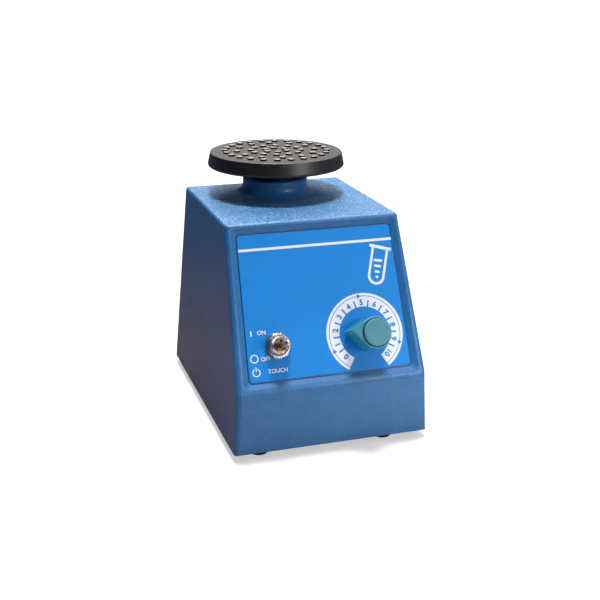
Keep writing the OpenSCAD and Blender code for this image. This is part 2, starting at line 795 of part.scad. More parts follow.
// Half disc on the side away from the platform's axis
module counterweight() {
    color([0.62, 0.55, 0.36]) on_axis(weight_z) difference() {
        union() {
            cylinder(r = 9, h = weight_h);
            intersection() {
                cylinder(r = weight_r, h = weight_h);
                translate([-weight_r, 2, 0]) cube([2 * weight_r, weight_r, weight_h]);
            }
        }
        translate([0, 0, -1]) cylinder(r = shaft_r + press_gap, h = weight_h + 2);
    }
}

module motor_shaft() {
    color([0.78, 0.79, 0.8]) on_axis(shaft_low) cylinder(r = shaft_r, h = shaft_top - shaft_low);
}

module rotor_core() {
    color([0.45, 0.46, 0.48]) on_axis(core_z + 1) ring(rotor_r, shaft_r + press_gap, core_h - 2);
}

module cooling_fan() {
    blades = 9;
    fan_r = 20;
    fan_z = shaft_low + 1;
    fan_h = 9;
    color([0.12, 0.12, 0.13]) on_axis(fan_z) {
        difference() {
            union() {
                cylinder(r = 7, h = fan_h);
                cylinder(r = fan_r, h = 1.2);
                for (i = [0 : blades - 1]) rotate([0, 0, i * 360 / blades])
                    translate([5, -0.6, 0]) cube([fan_r - 6, 1.2, fan_h]);
            }
            translate([0, 0, -1]) cylinder(r = shaft_r + press_gap, h = fan_h + 2);
        }
    }
}

module motor_bearing_inners() {
    color([0.8, 0.81, 0.82])
        for (z = [bell_z + bearing_set, bell_top - bearing_set - motor_bearing_w])
            on_axis(z) bearing_inner(motor_bearing_r, shaft_r + press_gap, motor_bearing_w);
}

// ---- motor, sprung on four posts ----

module motor_bearing_outers() {
    color([0.8, 0.81, 0.82])
        for (z = [bell_z + bearing_set, bell_top - bearing_set - motor_bearing_w])
            on_axis(z) bearing_outer(motor_bearing_r - press_gap, motor_bearing_w);
}

// One end bell, closed side down: cup, bearing seat and four bolt ears
module bell_form() {
    seat = bearing_set;
    difference() {
        union() {
            difference() {
                cylinder(r = motor_r, h = bell_h);
                translate([0, 0, bell_t]) cylinder(r = motor_r - 2.5, h = bell_h);
            }
            cylinder(r = motor_bearing_r + 3, h = seat + motor_bearing_w);
            for (q = [45 : 90 : 315]) rotate([0, 0, q]) translate([ear_at, 0, 0])
                cylinder(r = ear_r, h = 5);
        }
        translate([0, 0, seat]) cylinder(r = motor_bearing_r, h = bell_h);
        translate([0, 0, -1]) cylinder(r = motor_bearing_r - 2.5, h = bell_h);
        for (q = [45 : 90 : 315]) rotate([0, 0, q]) translate([ear_at, 0, -1])
            cylinder(r = bolt_r + fit_gap, h = 7);
        for (q = [0 : 45 : 315]) rotate([0, 0, q]) translate([18.5, 0, -1])
            cylinder(r = 3, h = bell_t + 2);
    }
}

module lower_bell() { color([0.7, 0.71, 0.72]) on_axis(bell_z) bell_form(); }

module upper_bell() {
    color([0.7, 0.71, 0.72]) on_axis(bell_top) mirror([0, 0, 1]) bell_form();
}

module stator_core() {
    color([0.4, 0.4, 0.42]) on_axis(core_z) difference() {
        cylinder(r = motor_r, h = core_h);
        translate([0, 0, -1]) cylinder(r = core_bore, h = core_h + 2);
        for (i = [0 : slots - 1]) rotate([0, 0, i * 360 / slots])
            translate([slot_in, -slot_w / 2, -1]) cube([slot_out - slot_in, slot_w, core_h + 2]);
    }
}

module stator_windings() {
    gap = 0.3;
    turn_h = 4.5;
    color([0.72, 0.4, 0.18]) on_axis(core_z) {
        for (z = [-turn_h - gap, core_h + gap]) translate([0, 0, z])
            ring(slot_out - gap, slot_in + gap, turn_h);
        for (i = [0 : slots - 1]) rotate([0, 0, i * 360 / slots])
            translate([slot_in + gap + 0.4, -slot_w / 2 + gap, -gap - 1])
                cube([slot_out - slot_in - 2 * gap - 0.8, slot_w - 2 * gap, core_h + 2 * gap + 2]);
    }
}

module motor_bolts() {
    length = bell_top - bracket_z + 4;
    color([0.75, 0.75, 0.76]) at_bolts() translate([0, 0, bracket_z - head_h])
        screw(head_r, head_h, bolt_r, length);
}

module motor_nuts() {
    color([0.75, 0.75, 0.76]) at_bolts() translate([0, 0, bell_top]) difference() {
        cylinder(r = 3.3, h = 2.4, $fn = 6);
        translate([0, 0, -1]) cylinder(r = bolt_r + press_gap, h = 5);
    }
}

module motor_bracket() {
    color([0.66, 0.67, 0.68]) difference() {
        on_axis(bracket_z) slab(2 * post_x + 18, 2 * post_y + 22, bracket_t);
        on_axis(bracket_z - 1) cylinder(r = motor_bearing_r - 2.5, h = bracket_t + 2);
        at_posts() translate([0, 0, bracket_z - 1]) cylinder(r = bush_r, h = bracket_t + 2);
        at_bolts() translate([0, 0, bracket_z - 1]) cylinder(r = bolt_r + fit_gap, h = bracket_t + 2);
    }
}

module bracket_bushes() {
    color([0.08, 0.08, 0.08]) at_posts() difference() {
        union() {
            translate([0, 0, bush_low]) cylinder(r = bush_flange_r, h = bush_flange);
            translate([0, 0, bush_low]) cylinder(r = bush_r - press_gap, h = bush_top - bush_low);
            translate([0, 0, bush_top - bush_flange]) cylinder(r = bush_flange_r, h = bush_flange);
        }
        translate([0, 0, bush_low - 1]) cylinder(r = post_r + run_gap, h = bush_top - bush_low + 2);
    }
}

module guide_posts() {
    color([0.76, 0.77, 0.78]) at_posts() difference() {
        union() {
            translate([0, 0, base_z]) cylinder(r = post_flange_r, h = post_flange_h);
            translate([0, 0, base_z]) cylinder(r = post_r, h = bush_top + stop_h - base_z);
        }
        translate([0, 0, base_z - 1]) cylinder(r = pilot_r, h = 11);
    }
}

// Stop on top of each post, which the spring holds the bushes against
module post_stops() {
    color([0.75, 0.75, 0.76]) at_posts() translate([0, 0, bush_top])
        ring(6, post_r + press_gap, stop_h);
}

// Tube of radius r along points pts, with the given number of sides; up is any direction that
// the path never follows
function unit(v) = v / norm(v);
function path_dir(pts, i) =
    unit(pts[min(i + 1, len(pts) - 1)] - pts[max(i - 1, 0)]);
function ring_points(pts, i, r, sides, up) =
    let (t = path_dir(pts, i), a = unit(cross(up, t)), b = cross(t, a))
    [for (k = [0 : sides - 1]) pts[i] + r * (cos(k * 360 / sides) * a + sin(k * 360 / sides) * b)];

module tube(pts, r, sides, up) {
    n = len(pts);
    verts = [for (i = [0 : n - 1]) each ring_points(pts, i, r, sides, up)];
    walls = [for (i = [0 : n - 2], k = [0 : sides - 1])
        let (a = i * sides + k, b = i * sides + (k + 1) % sides, c = b + sides, d = a + sides)
        each [[a, c, b], [a, d, c]]];
    ends = [for (k = [1 : sides - 2]) each [[0, k, k + 1],
        [(n - 1) * sides, (n - 1) * sides + k + 1, (n - 1) * sides + k]]];
    polyhedron(points = verts, faces = concat(walls, ends));
}

module return_springs() {
    coil_r = post_r + 1.6;
    low = base_z + post_flange_h + spring_wire + fit_gap;
    high = bush_low - spring_wire - fit_gap;
    steps = spring_turns * 8;
    helix = [for (i = [0 : steps]) let (q = i * 45)
        [coil_r * cos(q), coil_r * sin(q), low + (high - low) * i / steps]];
    color([0.7, 0.7, 0.72]) at_posts() tube(helix, spring_wire, 5, [0, 0, 1]);
}

// ---- touch switch under the bracket ----

module on_micro(z = 0) { on_axis(z) translate([micro_x, -micro_y, 0]) children(); }

module micro_switch() {
    color([0.1, 0.1, 0.1]) on_micro(micro_top - micro[2]) difference() {
        slab(micro[0], micro[1], micro[2]);
        translate([0, 0, micro[2] - press_travel - plunger_h])
            cylinder(r = plunger_r + run_gap, h = micro[2]);
        for (s = [-1, 1]) translate([s * 4.75 + s * 1.5, -micro[1], 2.5]) rotate([-90, 0, 0])
            cylinder(r = 1.2, h = 2 * micro[1]);
    }
}

module micro_plunger() {
    low = micro_top - 1.5;
    color([0.75, 0.2, 0.15]) on_micro(low) cylinder(r = plunger_r, h = bracket_z - fit_gap - low);
}

module micro_bracket() {
    color([0.66, 0.67, 0.68]) on_micro(base_z) translate([0, -micro[1] / 2, 0]) {
        translate([-micro[0] / 2, -1.2, 0]) cube([micro[0], 1.2, micro_top - base_z - 3]);
        translate([-micro[0] / 2, -9, 0]) cube([micro[0], 9, 1.2]);
    }
}

// ---- speed control board ----

module on_board(x = 0, y = 0, z = 0) {
    in_housing() translate([x, board_y + y, board_z + z]) children();
}

module control_board() {
    color([0.1, 0.35, 0.18]) on_board() difference() {
        slab(board[0], board[1], board[2]);
        for (sx = [-1, 1], sy = [-1, 1])
            translate([sx * (board[0] / 2 - board_hole), sy * (board[1] / 2 - board_hole), -1])
                cylinder(r = screw_r + fit_gap, h = board[2] + 2);
    }
}

module board_standoffs() {
    post_h = board_z - base_z;
    color([0.85, 0.85, 0.8]) for (sx = [-1, 1], sy = [-1, 1])
        on_board(sx * (board[0] / 2 - board_hole), sy * (board[1] / 2 - board_hole), -post_h) {
            cylinder(r = 3, h = post_h);
            cylinder(r = screw_r, h = post_h + board[2] + 2);
        }
}

module heat_sink() {
    pitch = (sink[0] - fin[0]) / (fins - 1);
    color([0.6, 0.61, 0.63]) on_board(sink_at[0], sink_at[1], board[2]) {
        slab(sink[0], sink[1], sink[2]);
        for (i = [0 : fins - 1])
            translate([i * pitch - sink[0] / 2, sink[1] / 2 - 0.01, 0]) cube([fin[0], fin[1], sink[2]]);
    }
}

module triac() {
    color([0.1, 0.1, 0.1]) on_board(sink_at[0], sink_at[1] - sink[1] / 2 - triac_body[1], board[2]) {
        translate([-triac_body[0] / 2, 0, triac_leg]) cube(triac_body);
        for (i = [-1, 0, 1]) translate([i * 2.5, triac_body[1] / 2, 0]) slab(0.8, 0.6, triac_leg + 0.01);
    }
}

module capacitor() {
    color([0.75, 0.65, 0.2]) on_board(film_at[0], film_at[1], board[2])
        slab(film_body[0], film_body[1], film_body[2]);
}

module terminal_block() {
    color([0.15, 0.45, 0.3]) on_board(block_at[0], block_at[1], board[2]) difference() {
        slab(block[0], block[1], block[2]);
        for (i = [-2 : 2]) translate([i * block_pitch, 0, block[2] / 2])
            cylinder(r = 1.8, h = block[2]);
    }
}

// Three wires: fuse to switch, switch to board, and inlet to board. Each ends just short of the
// terminal that it meets.
module wiring() {
    color([0.45, 0.1, 0.08]) in_housing() tube(fuse_to_switch, wire_r, 8, [1, 0.2, 0]);
    color([0.45, 0.1, 0.08]) in_housing() tube(switch_to_board, wire_r, 8, [0.1, 0.3, 1]);
    color([0.1, 0.2, 0.5]) in_housing() tube(inlet_to_board, wire_r, 8, [0, 0.1, 1]);
}

// ---- mains inlet and fuse in the back face ----

module on_inlet(z = 0) { on_back(inlet_x, rim_z + inlet_z) translate([0, 0, z]) children(); }

module power_inlet() {
    color([0.07, 0.07, 0.07]) on_inlet() difference() {
        union() {
            slab(inlet_flange[0], inlet_flange[1], inlet_flange_t);
            translate([0, 0, -inlet_body_h]) slab(inlet_body[0], inlet_body[1], inlet_body_h + 1);
        }
        translate([0, 0, inlet_flange_t - inlet_depth])
            slab(inlet_hole[0], inlet_hole[1], inlet_depth + 1);
        for (s = [-1, 1]) translate([s * inlet_screw_at, 0, -1])
            cylinder(r = screw_r + fit_gap, h = inlet_flange_t + 2);
        for (p = pin_places) translate([p[0], p[1], -inlet_body_h - 1])
            slab(pin[0] + 2 * press_gap, pin[1] + 2 * press_gap, inlet_body_h);
    }
}

module inlet_pins() {
    top = inlet_flange_t - 1.5;
    low = -inlet_body_h - inlet_tail;
    color([0.82, 0.8, 0.7]) on_inlet(low) for (p = pin_places)
        translate([p[0], p[1], 0]) slab(pin[0], pin[1], top - low);
}

module inlet_screws() {
    color([0.75, 0.75, 0.76]) for (s = [-1, 1]) on_inlet(inlet_flange_t + head_h)
        translate([s * inlet_screw_at, 0, 0]) mirror([0, 0, 1])
            screw(head_r, head_h, screw_r, 8);
}

module fuse_holder() {
    color([0.07, 0.07, 0.07]) on_back(fuse_x, rim_z + inlet_z) {
        translate([0, 0, -fuse_l]) cylinder(r = fuse_r, h = fuse_l + 1);
        cylinder(r = fuse_r + 2, h = fuse_flange_h);
        translate([0, 0, 1]) cylinder(r = fuse_r - 0.5, h = fuse_cap_h - 1);
    }
}

housing();
base_plate();
rubber_feet();
foot_screws();
foot_nuts();
base_screws();
panel_plate();
speed_knob();
knob_cap();
pot_shaft();
pot_body();
pot_nut();
switch_body();
switch_bushing();
switch_nut();
switch_washer();
switch_lever();
rubber_cover();
platform_plate();
platform_hub();
plate_screws();
dust_boot();
head_bearing_outers();
head_bearing_inners();
bearing_spacer();
head_screw();
hub_circlip();
eccentric();
eccentric_screw();
counterweight();
motor_shaft();
rotor_core();
cooling_fan();
motor_bearing_outers();
motor_bearing_inners();
lower_bell();
upper_bell();
stator_core();
stator_windings();
motor_bolts();
motor_nuts();
motor_bracket();
bracket_bushes();
guide_posts();
post_stops();
return_springs();
wiring();
micro_switch();
micro_plunger();
micro_bracket();
control_board();
board_standoffs();
heat_sink();
triac();
capacitor();
terminal_block();
power_inlet();
inlet_pins();
inlet_screws();
fuse_holder();
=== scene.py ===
"""Looks of the vortex mixer: a sloped housing with a printed panel, a speed knob and a toggle
switch, a sprung round platform above it, and a mains inlet and a fuse in its back."""

import json
import math

import bmesh
import bpy
from mathutils import Matrix, Vector


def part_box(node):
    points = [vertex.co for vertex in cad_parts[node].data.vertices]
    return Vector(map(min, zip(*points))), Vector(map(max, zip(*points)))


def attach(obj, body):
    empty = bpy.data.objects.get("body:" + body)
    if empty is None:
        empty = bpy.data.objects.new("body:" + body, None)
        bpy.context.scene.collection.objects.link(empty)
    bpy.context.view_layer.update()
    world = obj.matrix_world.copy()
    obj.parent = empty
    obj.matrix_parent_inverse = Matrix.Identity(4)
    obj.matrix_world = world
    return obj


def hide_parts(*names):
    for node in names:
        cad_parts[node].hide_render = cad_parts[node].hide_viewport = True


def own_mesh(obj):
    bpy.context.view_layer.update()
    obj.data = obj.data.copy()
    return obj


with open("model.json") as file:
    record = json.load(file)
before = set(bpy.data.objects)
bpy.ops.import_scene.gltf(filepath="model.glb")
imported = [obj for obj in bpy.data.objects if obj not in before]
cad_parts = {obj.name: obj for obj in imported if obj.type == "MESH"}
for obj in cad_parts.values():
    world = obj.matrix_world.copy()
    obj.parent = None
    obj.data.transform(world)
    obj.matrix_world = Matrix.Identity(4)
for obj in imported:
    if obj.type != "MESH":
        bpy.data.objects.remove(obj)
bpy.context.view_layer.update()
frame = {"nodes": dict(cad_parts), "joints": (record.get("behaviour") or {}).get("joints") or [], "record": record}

# ---- places ----
# Pieces are drawn in millimetres in the frame of what carries them. A place turns that into
# metres in the mixer's frame: +X right, +Y back, +Z up, the standing surface at z = 0.

IDENTITY = Matrix.Identity(4)
MILLI = Matrix.Scale(0.001, 4)
JOINTS = {joint["name"]: joint for joint in frame["joints"]}
SHELL_LOW, SHELL_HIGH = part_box("housing")
ACROSS = Vector((1, 0, 0))

# Driving sizes, in millimetres
TOP_W = 110
SKIRT_H = 37.5
HOUSING_H = 129.5
TOP_SETBACK = 41.5
BACK_LEAN = 20
WALL = 3.6
RIM_Z = SHELL_LOW.z * 1000
HOUSING_W = (SHELL_HIGH.x - SHELL_LOW.x) * 1000
HOUSING_D = (SHELL_HIGH.y - SHELL_LOW.y) * 1000
BEND_Z = RIM_Z + SKIRT_H
TOP_Z = RIM_Z + HOUSING_H
SLOPE_A = math.atan2(TOP_SETBACK, HOUSING_H - SKIRT_H)
BACK_A = math.atan2(BACK_LEAN, HOUSING_H)
SIDE_K = (HOUSING_W - TOP_W) / 2 / HOUSING_H

KNOB_AT = (25.6, 28.4)
SWITCH_AT = (-31.6, 27.6)
INLET_AT = (16, 15.2)
FUSE_AT = (-21, 15.2)
PLATE_Z = -1.2


def axes(across, up, out, origin):
    """The place whose X, Y and Z run along the three directions, in millimetres."""
    turn = Matrix((across, up, out)).transposed().to_4x4()
    return Matrix.Translation(origin) @ turn @ MILLI


def upright(joint):
    """The place on a joint's upright axis, its z measured from the standing surface."""
    x, y, _ = JOINTS[joint]["pos_m"]
    return Matrix.Translation((x, y, 0)) @ MILLI


def slope_place():
    """The sloped front: u across, v up the slope from the bend, z out of it."""
    out = Vector(JOINTS["speed_dial"]["axis"])
    up = out.cross(ACROSS)
    knob = Vector(JOINTS["speed_dial"]["pos_m"])
    return axes(ACROSS, up, out, knob - (ACROSS * KNOB_AT[0] + up * KNOB_AT[1]) * 0.001)


def back_place(at):
    """A point of the back face: x across to the viewer's right, y up the face, z out of it."""
    x, height = at
    out = Vector((0, math.cos(BACK_A), math.sin(BACK_A)))
    up = Vector((0, -math.sin(BACK_A), math.cos(BACK_A)))
    y = SHELL_HIGH.y - height * math.tan(BACK_A) * 0.001
    return axes(-ACROSS, up, out, Vector((x * 0.001, y, (RIM_Z + height) * 0.001)))


def shifted(place, x, y, z=0):
    """The place moved along its own axes, in millimetres."""
    return place @ Matrix.Translation((x, y, z))


def spun(place, degrees):
    return place @ Matrix.Rotation(math.radians(degrees), 4, "Z")


# HOUSING measures y from the front of the skirt, and PANEL measures z from the plate's face.
HOUSING = Matrix.Translation((0, SHELL_LOW.y, 0)) @ MILLI
SLOPE = slope_place()
PANEL = shifted(SLOPE, 0, 0, PLATE_Z)
MOTOR = upright("motor_spin")
HEAD = upright("head_orbit")


# ---- outlines and solids ----

ON_AXIS = 1e-6
DOUBLES = 1e-4


def rounded(points, radii, steps=6, closed=True):
    """The outline with its corners rounded, each arc made of the given steps."""
    count = len(points)
    radii = [radii] * count if isinstance(radii, (int, float)) else radii
    result = []
    for i, corner in enumerate(points):
        here = Vector(corner)
        if radii[i] == 0 or (not closed and i in (0, count - 1)):
            result.append(here)
            continue
        before = (Vector(points[i - 1]) - here).normalized()
        after = (Vector(points[(i + 1) % count]) - here).normalized()
        half = before.angle(after) / 2
        centre = here + (before + after).normalized() * radii[i] / math.sin(half)
        spoke = here + before * radii[i] / math.tan(half) - centre
        sweep = math.pi - 2 * half
        if before.x * after.y - before.y * after.x > 0:
            sweep = -sweep
        for k in range(steps + 1):
            result.append(centre + Matrix.Rotation(sweep * k / steps, 2) @ spoke)
    return result


def box_outline(width, height, centre=(0, 0)):
    x, y = centre
    return [(x + sx * width / 2, y + sy * height / 2)
            for sx, sy in ((-1, -1), (1, -1), (1, 1), (-1, 1))]


def circle(radius, count):
    angles = [2 * math.pi * i / count for i in range(count)]
    return [(radius * math.cos(a), radius * math.sin(a)) for a in angles]


def at_height(outline, z):
    return [(p[0], p[1], z) for p in outline]


def skin(bm, rings, wrap=False):
    """Joins rings of equally many points. The ends are closed, or joined to each other."""
    rows = [[bm.verts.new(p) for p in ring] for ring in rings]
    pairs = list(zip(rows, rows[1:]))
    if wrap:
        pairs.append((rows[-1], rows[0]))
    else:
        bm.faces.new(list(reversed(rows[0])))
        bm.faces.new(rows[-1])
    for low, high in pairs:
        for i in range(len(low)):
            j = (i + 1) % len(low)
            bm.faces.new((low[i], low[j], high[j], high[i]))


def plate(bm, outline, low, high):
    skin(bm, [at_height(outline, low), at_height(outline, high)])


def turned(bm, profile, sides=96, wrap=False):
    """Turns a profile of (radius, height) points round Z. A point on the axis becomes a pole."""
    rows = []
    for radius, height in profile:
        outline = circle(radius, sides) if radius > ON_AXIS else [(0, 0)]
        rows.append([bm.verts.new(p) for p in at_height(outline, height)])
    for low, high in list(zip(rows, rows[1:])) + ([(rows[-1], rows[0])] if wrap else []):
        for i in range(sides):
            j = (i + 1) % sides
            corners = (low[i % len(low)], low[j % len(low)], high[j % len(high)], high[i % len(high)])
            bm.faces.new(list(dict.fromkeys(corners)))


def sector(inner, outer, start, end, steps=72):
    """Outline of a ring's sector between two angles in degrees."""
    angles = [math.radians(start + (end - start) * i / steps) for i in range(steps + 1)]
    return ([(outer * math.cos(a), outer * math.sin(a)) for a in angles]
            + [(inner * math.cos(a), inner * math.sin(a)) for a in reversed(angles)])


def mesh_object(name, bm, place):
    """Closes a drawing into an object: doubles merged, faces outwards, its place in its mesh."""
    bmesh.ops.remove_doubles(bm, verts=bm.verts, dist=DOUBLES)
    bmesh.ops.recalc_face_normals(bm, faces=bm.faces)
    bmesh.ops.transform(bm, matrix=place, verts=bm.verts)
    mesh = bpy.data.meshes.new(name)
    bm.to_mesh(mesh)
    bm.free()
    obj = bpy.data.objects.new(name, mesh)
    bpy.context.scene.collection.objects.link(obj)
    return obj


def applied(obj):
    """Makes what the object's modifiers give its plain mesh."""
    graph = bpy.context.evaluated_depsgraph_get()
    mesh = bpy.data.meshes.new_from_object(
        obj.evaluated_get(graph), preserve_all_data_layers=True, depsgraph=graph)
    obj.modifiers.clear()
    old, obj.data = obj.data, mesh
    bpy.data.meshes.remove(old)
    mesh.name = obj.name
    return obj


def combined(obj, other, operation):
    modifier = obj.modifiers.new("combine", "BOOLEAN")
    modifier.object, modifier.operation, modifier.solver = other, operation, "EXACT"
    applied(obj)
    bpy.data.objects.remove(other)


def drawn(name, place, draw, *values, **options):
    """An object from a drawing function."""
    bm = bmesh.new()
    draw(bm, *values, **options)
    return mesh_object(name, bm, place)


def cut(obj, place, draw, *values, **options):
    combined(obj, drawn("cutter", place, draw, *values, **options), "DIFFERENCE")


def smoothed(obj, angle):
    """Smooth shading that keeps edges sharper than the angle and flat faces flat."""
    obj.data.polygons.foreach_set("use_smooth", [True] * len(obj.data.polygons))
    obj.data.set_sharp_from_angle(angle=math.radians(angle))
    modifier = obj.modifiers.new("flat faces", "WEIGHTED_NORMAL")
    modifier.keep_sharp = True
    applied(obj)


def kept(obj, body, slot, *replaced, finish=None, angle=28):
    """Gives a finished piece its shading and the finish of its slot, puts it on its body, and hides the nodes it
    replaces.

    Its finish is the slot's own unless another is given.
    """
    smoothed(obj, angle)
    obj.data.materials.clear()
    obj.data.materials.append(finish or FINISHES[slot])
    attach(obj, body)
    if replaced:
        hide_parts(*replaced)


# ---- node trees ----

def add_node(tree, kind, inputs=None, **settings):
    """A node with its settings, and with values or other nodes' sockets on its inputs."""
    made = tree.nodes.new(kind)
    for key, value in settings.items():
        setattr(made, key, value)
    for key, value in (inputs or {}).items():
        if isinstance(value, bpy.types.NodeSocket):
            tree.links.new(value, made.inputs[key])
        else:
            made.inputs[key].default_value = value
    return made


def maths(tree, operation, *values):
    """A sum on numbers or sockets."""
    made = add_node(tree, "ShaderNodeMath", dict(enumerate(values)), operation=operation)
    return made.outputs[0]


def times(tree, *values):
    return maths(tree, "MULTIPLY", *values)


def plus(tree, *values):
    return maths(tree, "ADD", *values)


def mapped(tree, value, low, high, to_low=0.0, to_high=1.0):
    """The value carried from one range to another and held there."""
    made = add_node(tree, "ShaderNodeMapRange", {
        "Value": value, "From Min": low, "From Max": high, "To Min": to_low, "To Max": to_high})
    return made.outputs[0]


def blended(tree, factor, first, second):
    """Colour between two colours."""
    made = add_node(tree, "ShaderNodeMix", data_type="RGBA")
    for socket, value in ((made.inputs[0], factor), (made.inputs[6], first), (made.inputs[7], second)):
        if isinstance(value, bpy.types.NodeSocket):
            tree.links.new(value, socket)
        elif isinstance(value, tuple):
            socket.default_value = (*value, 1)
        else:
            socket.default_value = value
    return made.outputs[2]


def shader_group(name, inputs, outputs, fill):
    """A shared effect with named number inputs and outputs."""
    group = bpy.data.node_groups.new(name, "ShaderNodeTree")
    for label, value in inputs.items():
        socket = group.interface.new_socket(label, in_out="INPUT", socket_type="NodeSocketFloat")
        socket.default_value = value
    for label in outputs:
        group.interface.new_socket(label, in_out="OUTPUT", socket_type="NodeSocketFloat")
    given = group.nodes.new("NodeGroupInput")
    result = group.nodes.new("NodeGroupOutput")
    for label, socket in fill(group, given.outputs).items():
        group.links.new(socket, result.inputs[label])
    return group


def noise(tree, place, scale, detail, roughness=0.5):
    return add_node(tree, "ShaderNodeTexNoise", {
        "Vector": place, "Scale": scale, "Detail": detail, "Roughness": roughness}).outputs


def fill_grain(tree, given):
    """Fine cloudy grain: a mask for colour and a height for bumps."""
    place = add_node(tree, "ShaderNodeTexCoord").outputs["Object"]
    scale = maths(tree, "DIVIDE", 1000.0, given["Size"])
    fine = noise(tree, place, scale, 3.0, 0.6)[0]
    coarse = noise(tree, place, times(tree, scale, 0.07), 2.0)[0]
    mask = plus(tree, times(tree, fine, 0.6), times(tree, coarse, 0.4))
    return {"Mask": mapped(tree, mask, 0.35, 0.65), "Height": fine}


def fill_hammered(tree, given):
    """Sprayed hammered paint: the height of its small dimples, and masks of two kinds of fleck."""
    place = add_node(tree, "ShaderNodeTexCoord").outputs["Object"]
    scale = maths(tree, "DIVIDE", 1000.0, given["Size"])
    warp = noise(tree, place, times(tree, scale, 0.7), 2.0)["Color"]
    small = add_node(tree, "ShaderNodeVectorMath", {0: warp, "Scale": 0.0008}, operation="SCALE")
    shift = add_node(tree, "ShaderNodeVectorMath", {0: place, 1: small.outputs[0]}, operation="ADD")
    cells = add_node(tree, "ShaderNodeTexVoronoi", {
        "Vector": shift.outputs[0], "Scale": scale, "Smoothness": 0.6}, feature="SMOOTH_F1")
    fine = noise(tree, place, times(tree, scale, 2.2), 2.0)[0]
    grit = noise(tree, place, times(tree, scale, 1.1), 1.0)[0]
    height = plus(tree, times(tree, cells.outputs["Distance"], 0.7), times(tree, fine, 0.5))
    return {"Height": height, "Fleck": mapped(tree, fine, 0.50, 0.66),
            "Grit": mapped(tree, grit, 0.53, 0.63)}


def fill_edges(tree, given):
    """Mask of the edges: a painted highlight on paint and plastic, and on rubber partly wear and partly painted
    highlight.
    """
    bevel = add_node(tree, "ShaderNodeBevel", {"Radius": given["Radius"]}, samples=4)
    normal = add_node(tree, "ShaderNodeNewGeometry").outputs["Normal"]
    match = add_node(tree, "ShaderNodeVectorMath", {0: bevel.outputs[0], 1: normal},
                     operation="DOT_PRODUCT").outputs["Value"]
    return {"Mask": mapped(tree, match, 0.995, 0.9)}


def fill_dust(tree, given):
    """Mask of faces that look up, patchy and thin: dust on rubber, the painted highlight on the nub tops, and the
    painted sheen flakes on the housing's top.
    """
    coordinates = add_node(tree, "ShaderNodeTexCoord").outputs
    upward = add_node(tree, "ShaderNodeSeparateXYZ", {0: coordinates["Normal"]}).outputs[2]
    scale = maths(tree, "DIVIDE", 1000.0, given["Size"])
    patches = noise(tree, coordinates["Object"], scale, 4.0, 0.65)[0]
    cover = times(tree, mapped(tree, upward, given["From"], 0.96),
                  mapped(tree, patches, 0.3, 0.7, 0.45, 1.0))
    return {"Mask": times(tree, cover, given["Amount"])}


GRAIN = shader_group("fine grain", {"Size": 0.5}, ["Mask", "Height"], fill_grain)
HAMMERED = shader_group("hammered paint", {"Size": 1.25}, ["Height", "Fleck", "Grit"], fill_hammered)
# Edge mask: it paints highlights on edges, and on rubber it also stands for wear.
EDGE_HIGHLIGHT_AND_WEAR = shader_group("rubbed edges", {"Radius": 0.0006}, ["Mask"], fill_edges)
# Upward mask: dust, and also painted light on the tops of the nubs and of the housing.
UPWARD_DUST_AND_LIGHT = shader_group("settled dust", {"Size": 6.0, "Amount": 1.0, "From": 0.45}, ["Mask"], fill_dust)


def effect(tree, group, **inputs):
    made = add_node(tree, "ShaderNodeGroup", node_tree=group)
    for label, value in inputs.items():
        made.inputs[label].default_value = value
    return made.outputs


def new_material(name, **constants):
    """A material with its surface shader, whose even values sit on the shader itself."""
    material = bpy.data.materials.new(name)
    material.use_nodes = True
    tree = material.node_tree
    shader = tree.nodes["Principled BSDF"]
    for label, value in constants.items():
        shader.inputs[label.replace("_", " ")].default_value = value
    return material, tree, shader


def joined(tree, shader, **sockets):
    """Links sockets to the surface shader's inputs of those names."""
    for label, socket in sockets.items():
        tree.links.new(socket, shader.inputs[label.replace("_", " ")])


def uneven(tree, grain, low, high):
    """Roughness that follows the grain between two values."""
    return mapped(tree, grain["Height"], 0.3, 0.7, low, high)


def bumped(tree, shader, height, strength, depth):
    """Relief of the given depth in millimetres."""
    bump = add_node(tree, "ShaderNodeBump", {
        "Height": height, "Strength": strength, "Distance": depth * 0.001})
    joined(tree, shader, Normal=bump.outputs[0])


def housing_paint():
    """Blue hammered paint, with a painted highlight on its edges and pale bright flakes of painted sheen on what
    looks up.
    """
    material, tree, shader = new_material("housing_paint", Specular_IOR_Level=0.5)
    relief = effect(tree, HAMMERED, Size=1.25)
    edges_lit_and_worn = effect(tree, EDGE_HIGHLIGHT_AND_WEAR, Radius=0.0012)
    cloud = effect(tree, GRAIN, Size=9.0)
    upward = effect(tree, UPWARD_DUST_AND_LIGHT, Size=9.0, Amount=0.85, From=0.9)
    body = blended(tree, cloud["Mask"], (0.016, 0.132, 0.345), (0.024, 0.160, 0.400))
    flecked = blended(tree, times(tree, relief["Fleck"], 0.20), body, (0.20, 0.40, 0.64))
    # Painted highlight: the edges are lightened toward pale blue.
    lightened = blended(tree, times(tree, edges_lit_and_worn["Mask"], 0.10), flecked, (0.20, 0.38, 0.60))
    # Painted sheen: pale metallic flakes only on faces that look up, where the light from above falls.
    sheen_flakes = times(tree, relief["Grit"], upward["Mask"])
    even = mapped(tree, relief["Height"], 0.2, 0.9, 0.26, 0.40)
    joined(tree, shader, Base_Color=blended(tree, sheen_flakes, lightened, (0.60, 0.79, 0.93)), Metallic=sheen_flakes,
           Roughness=plus(tree, even, times(tree, sheen_flakes, 0.36)))
    bumped(tree, shader, relief["Height"], 0.45, 0.26)
    return material


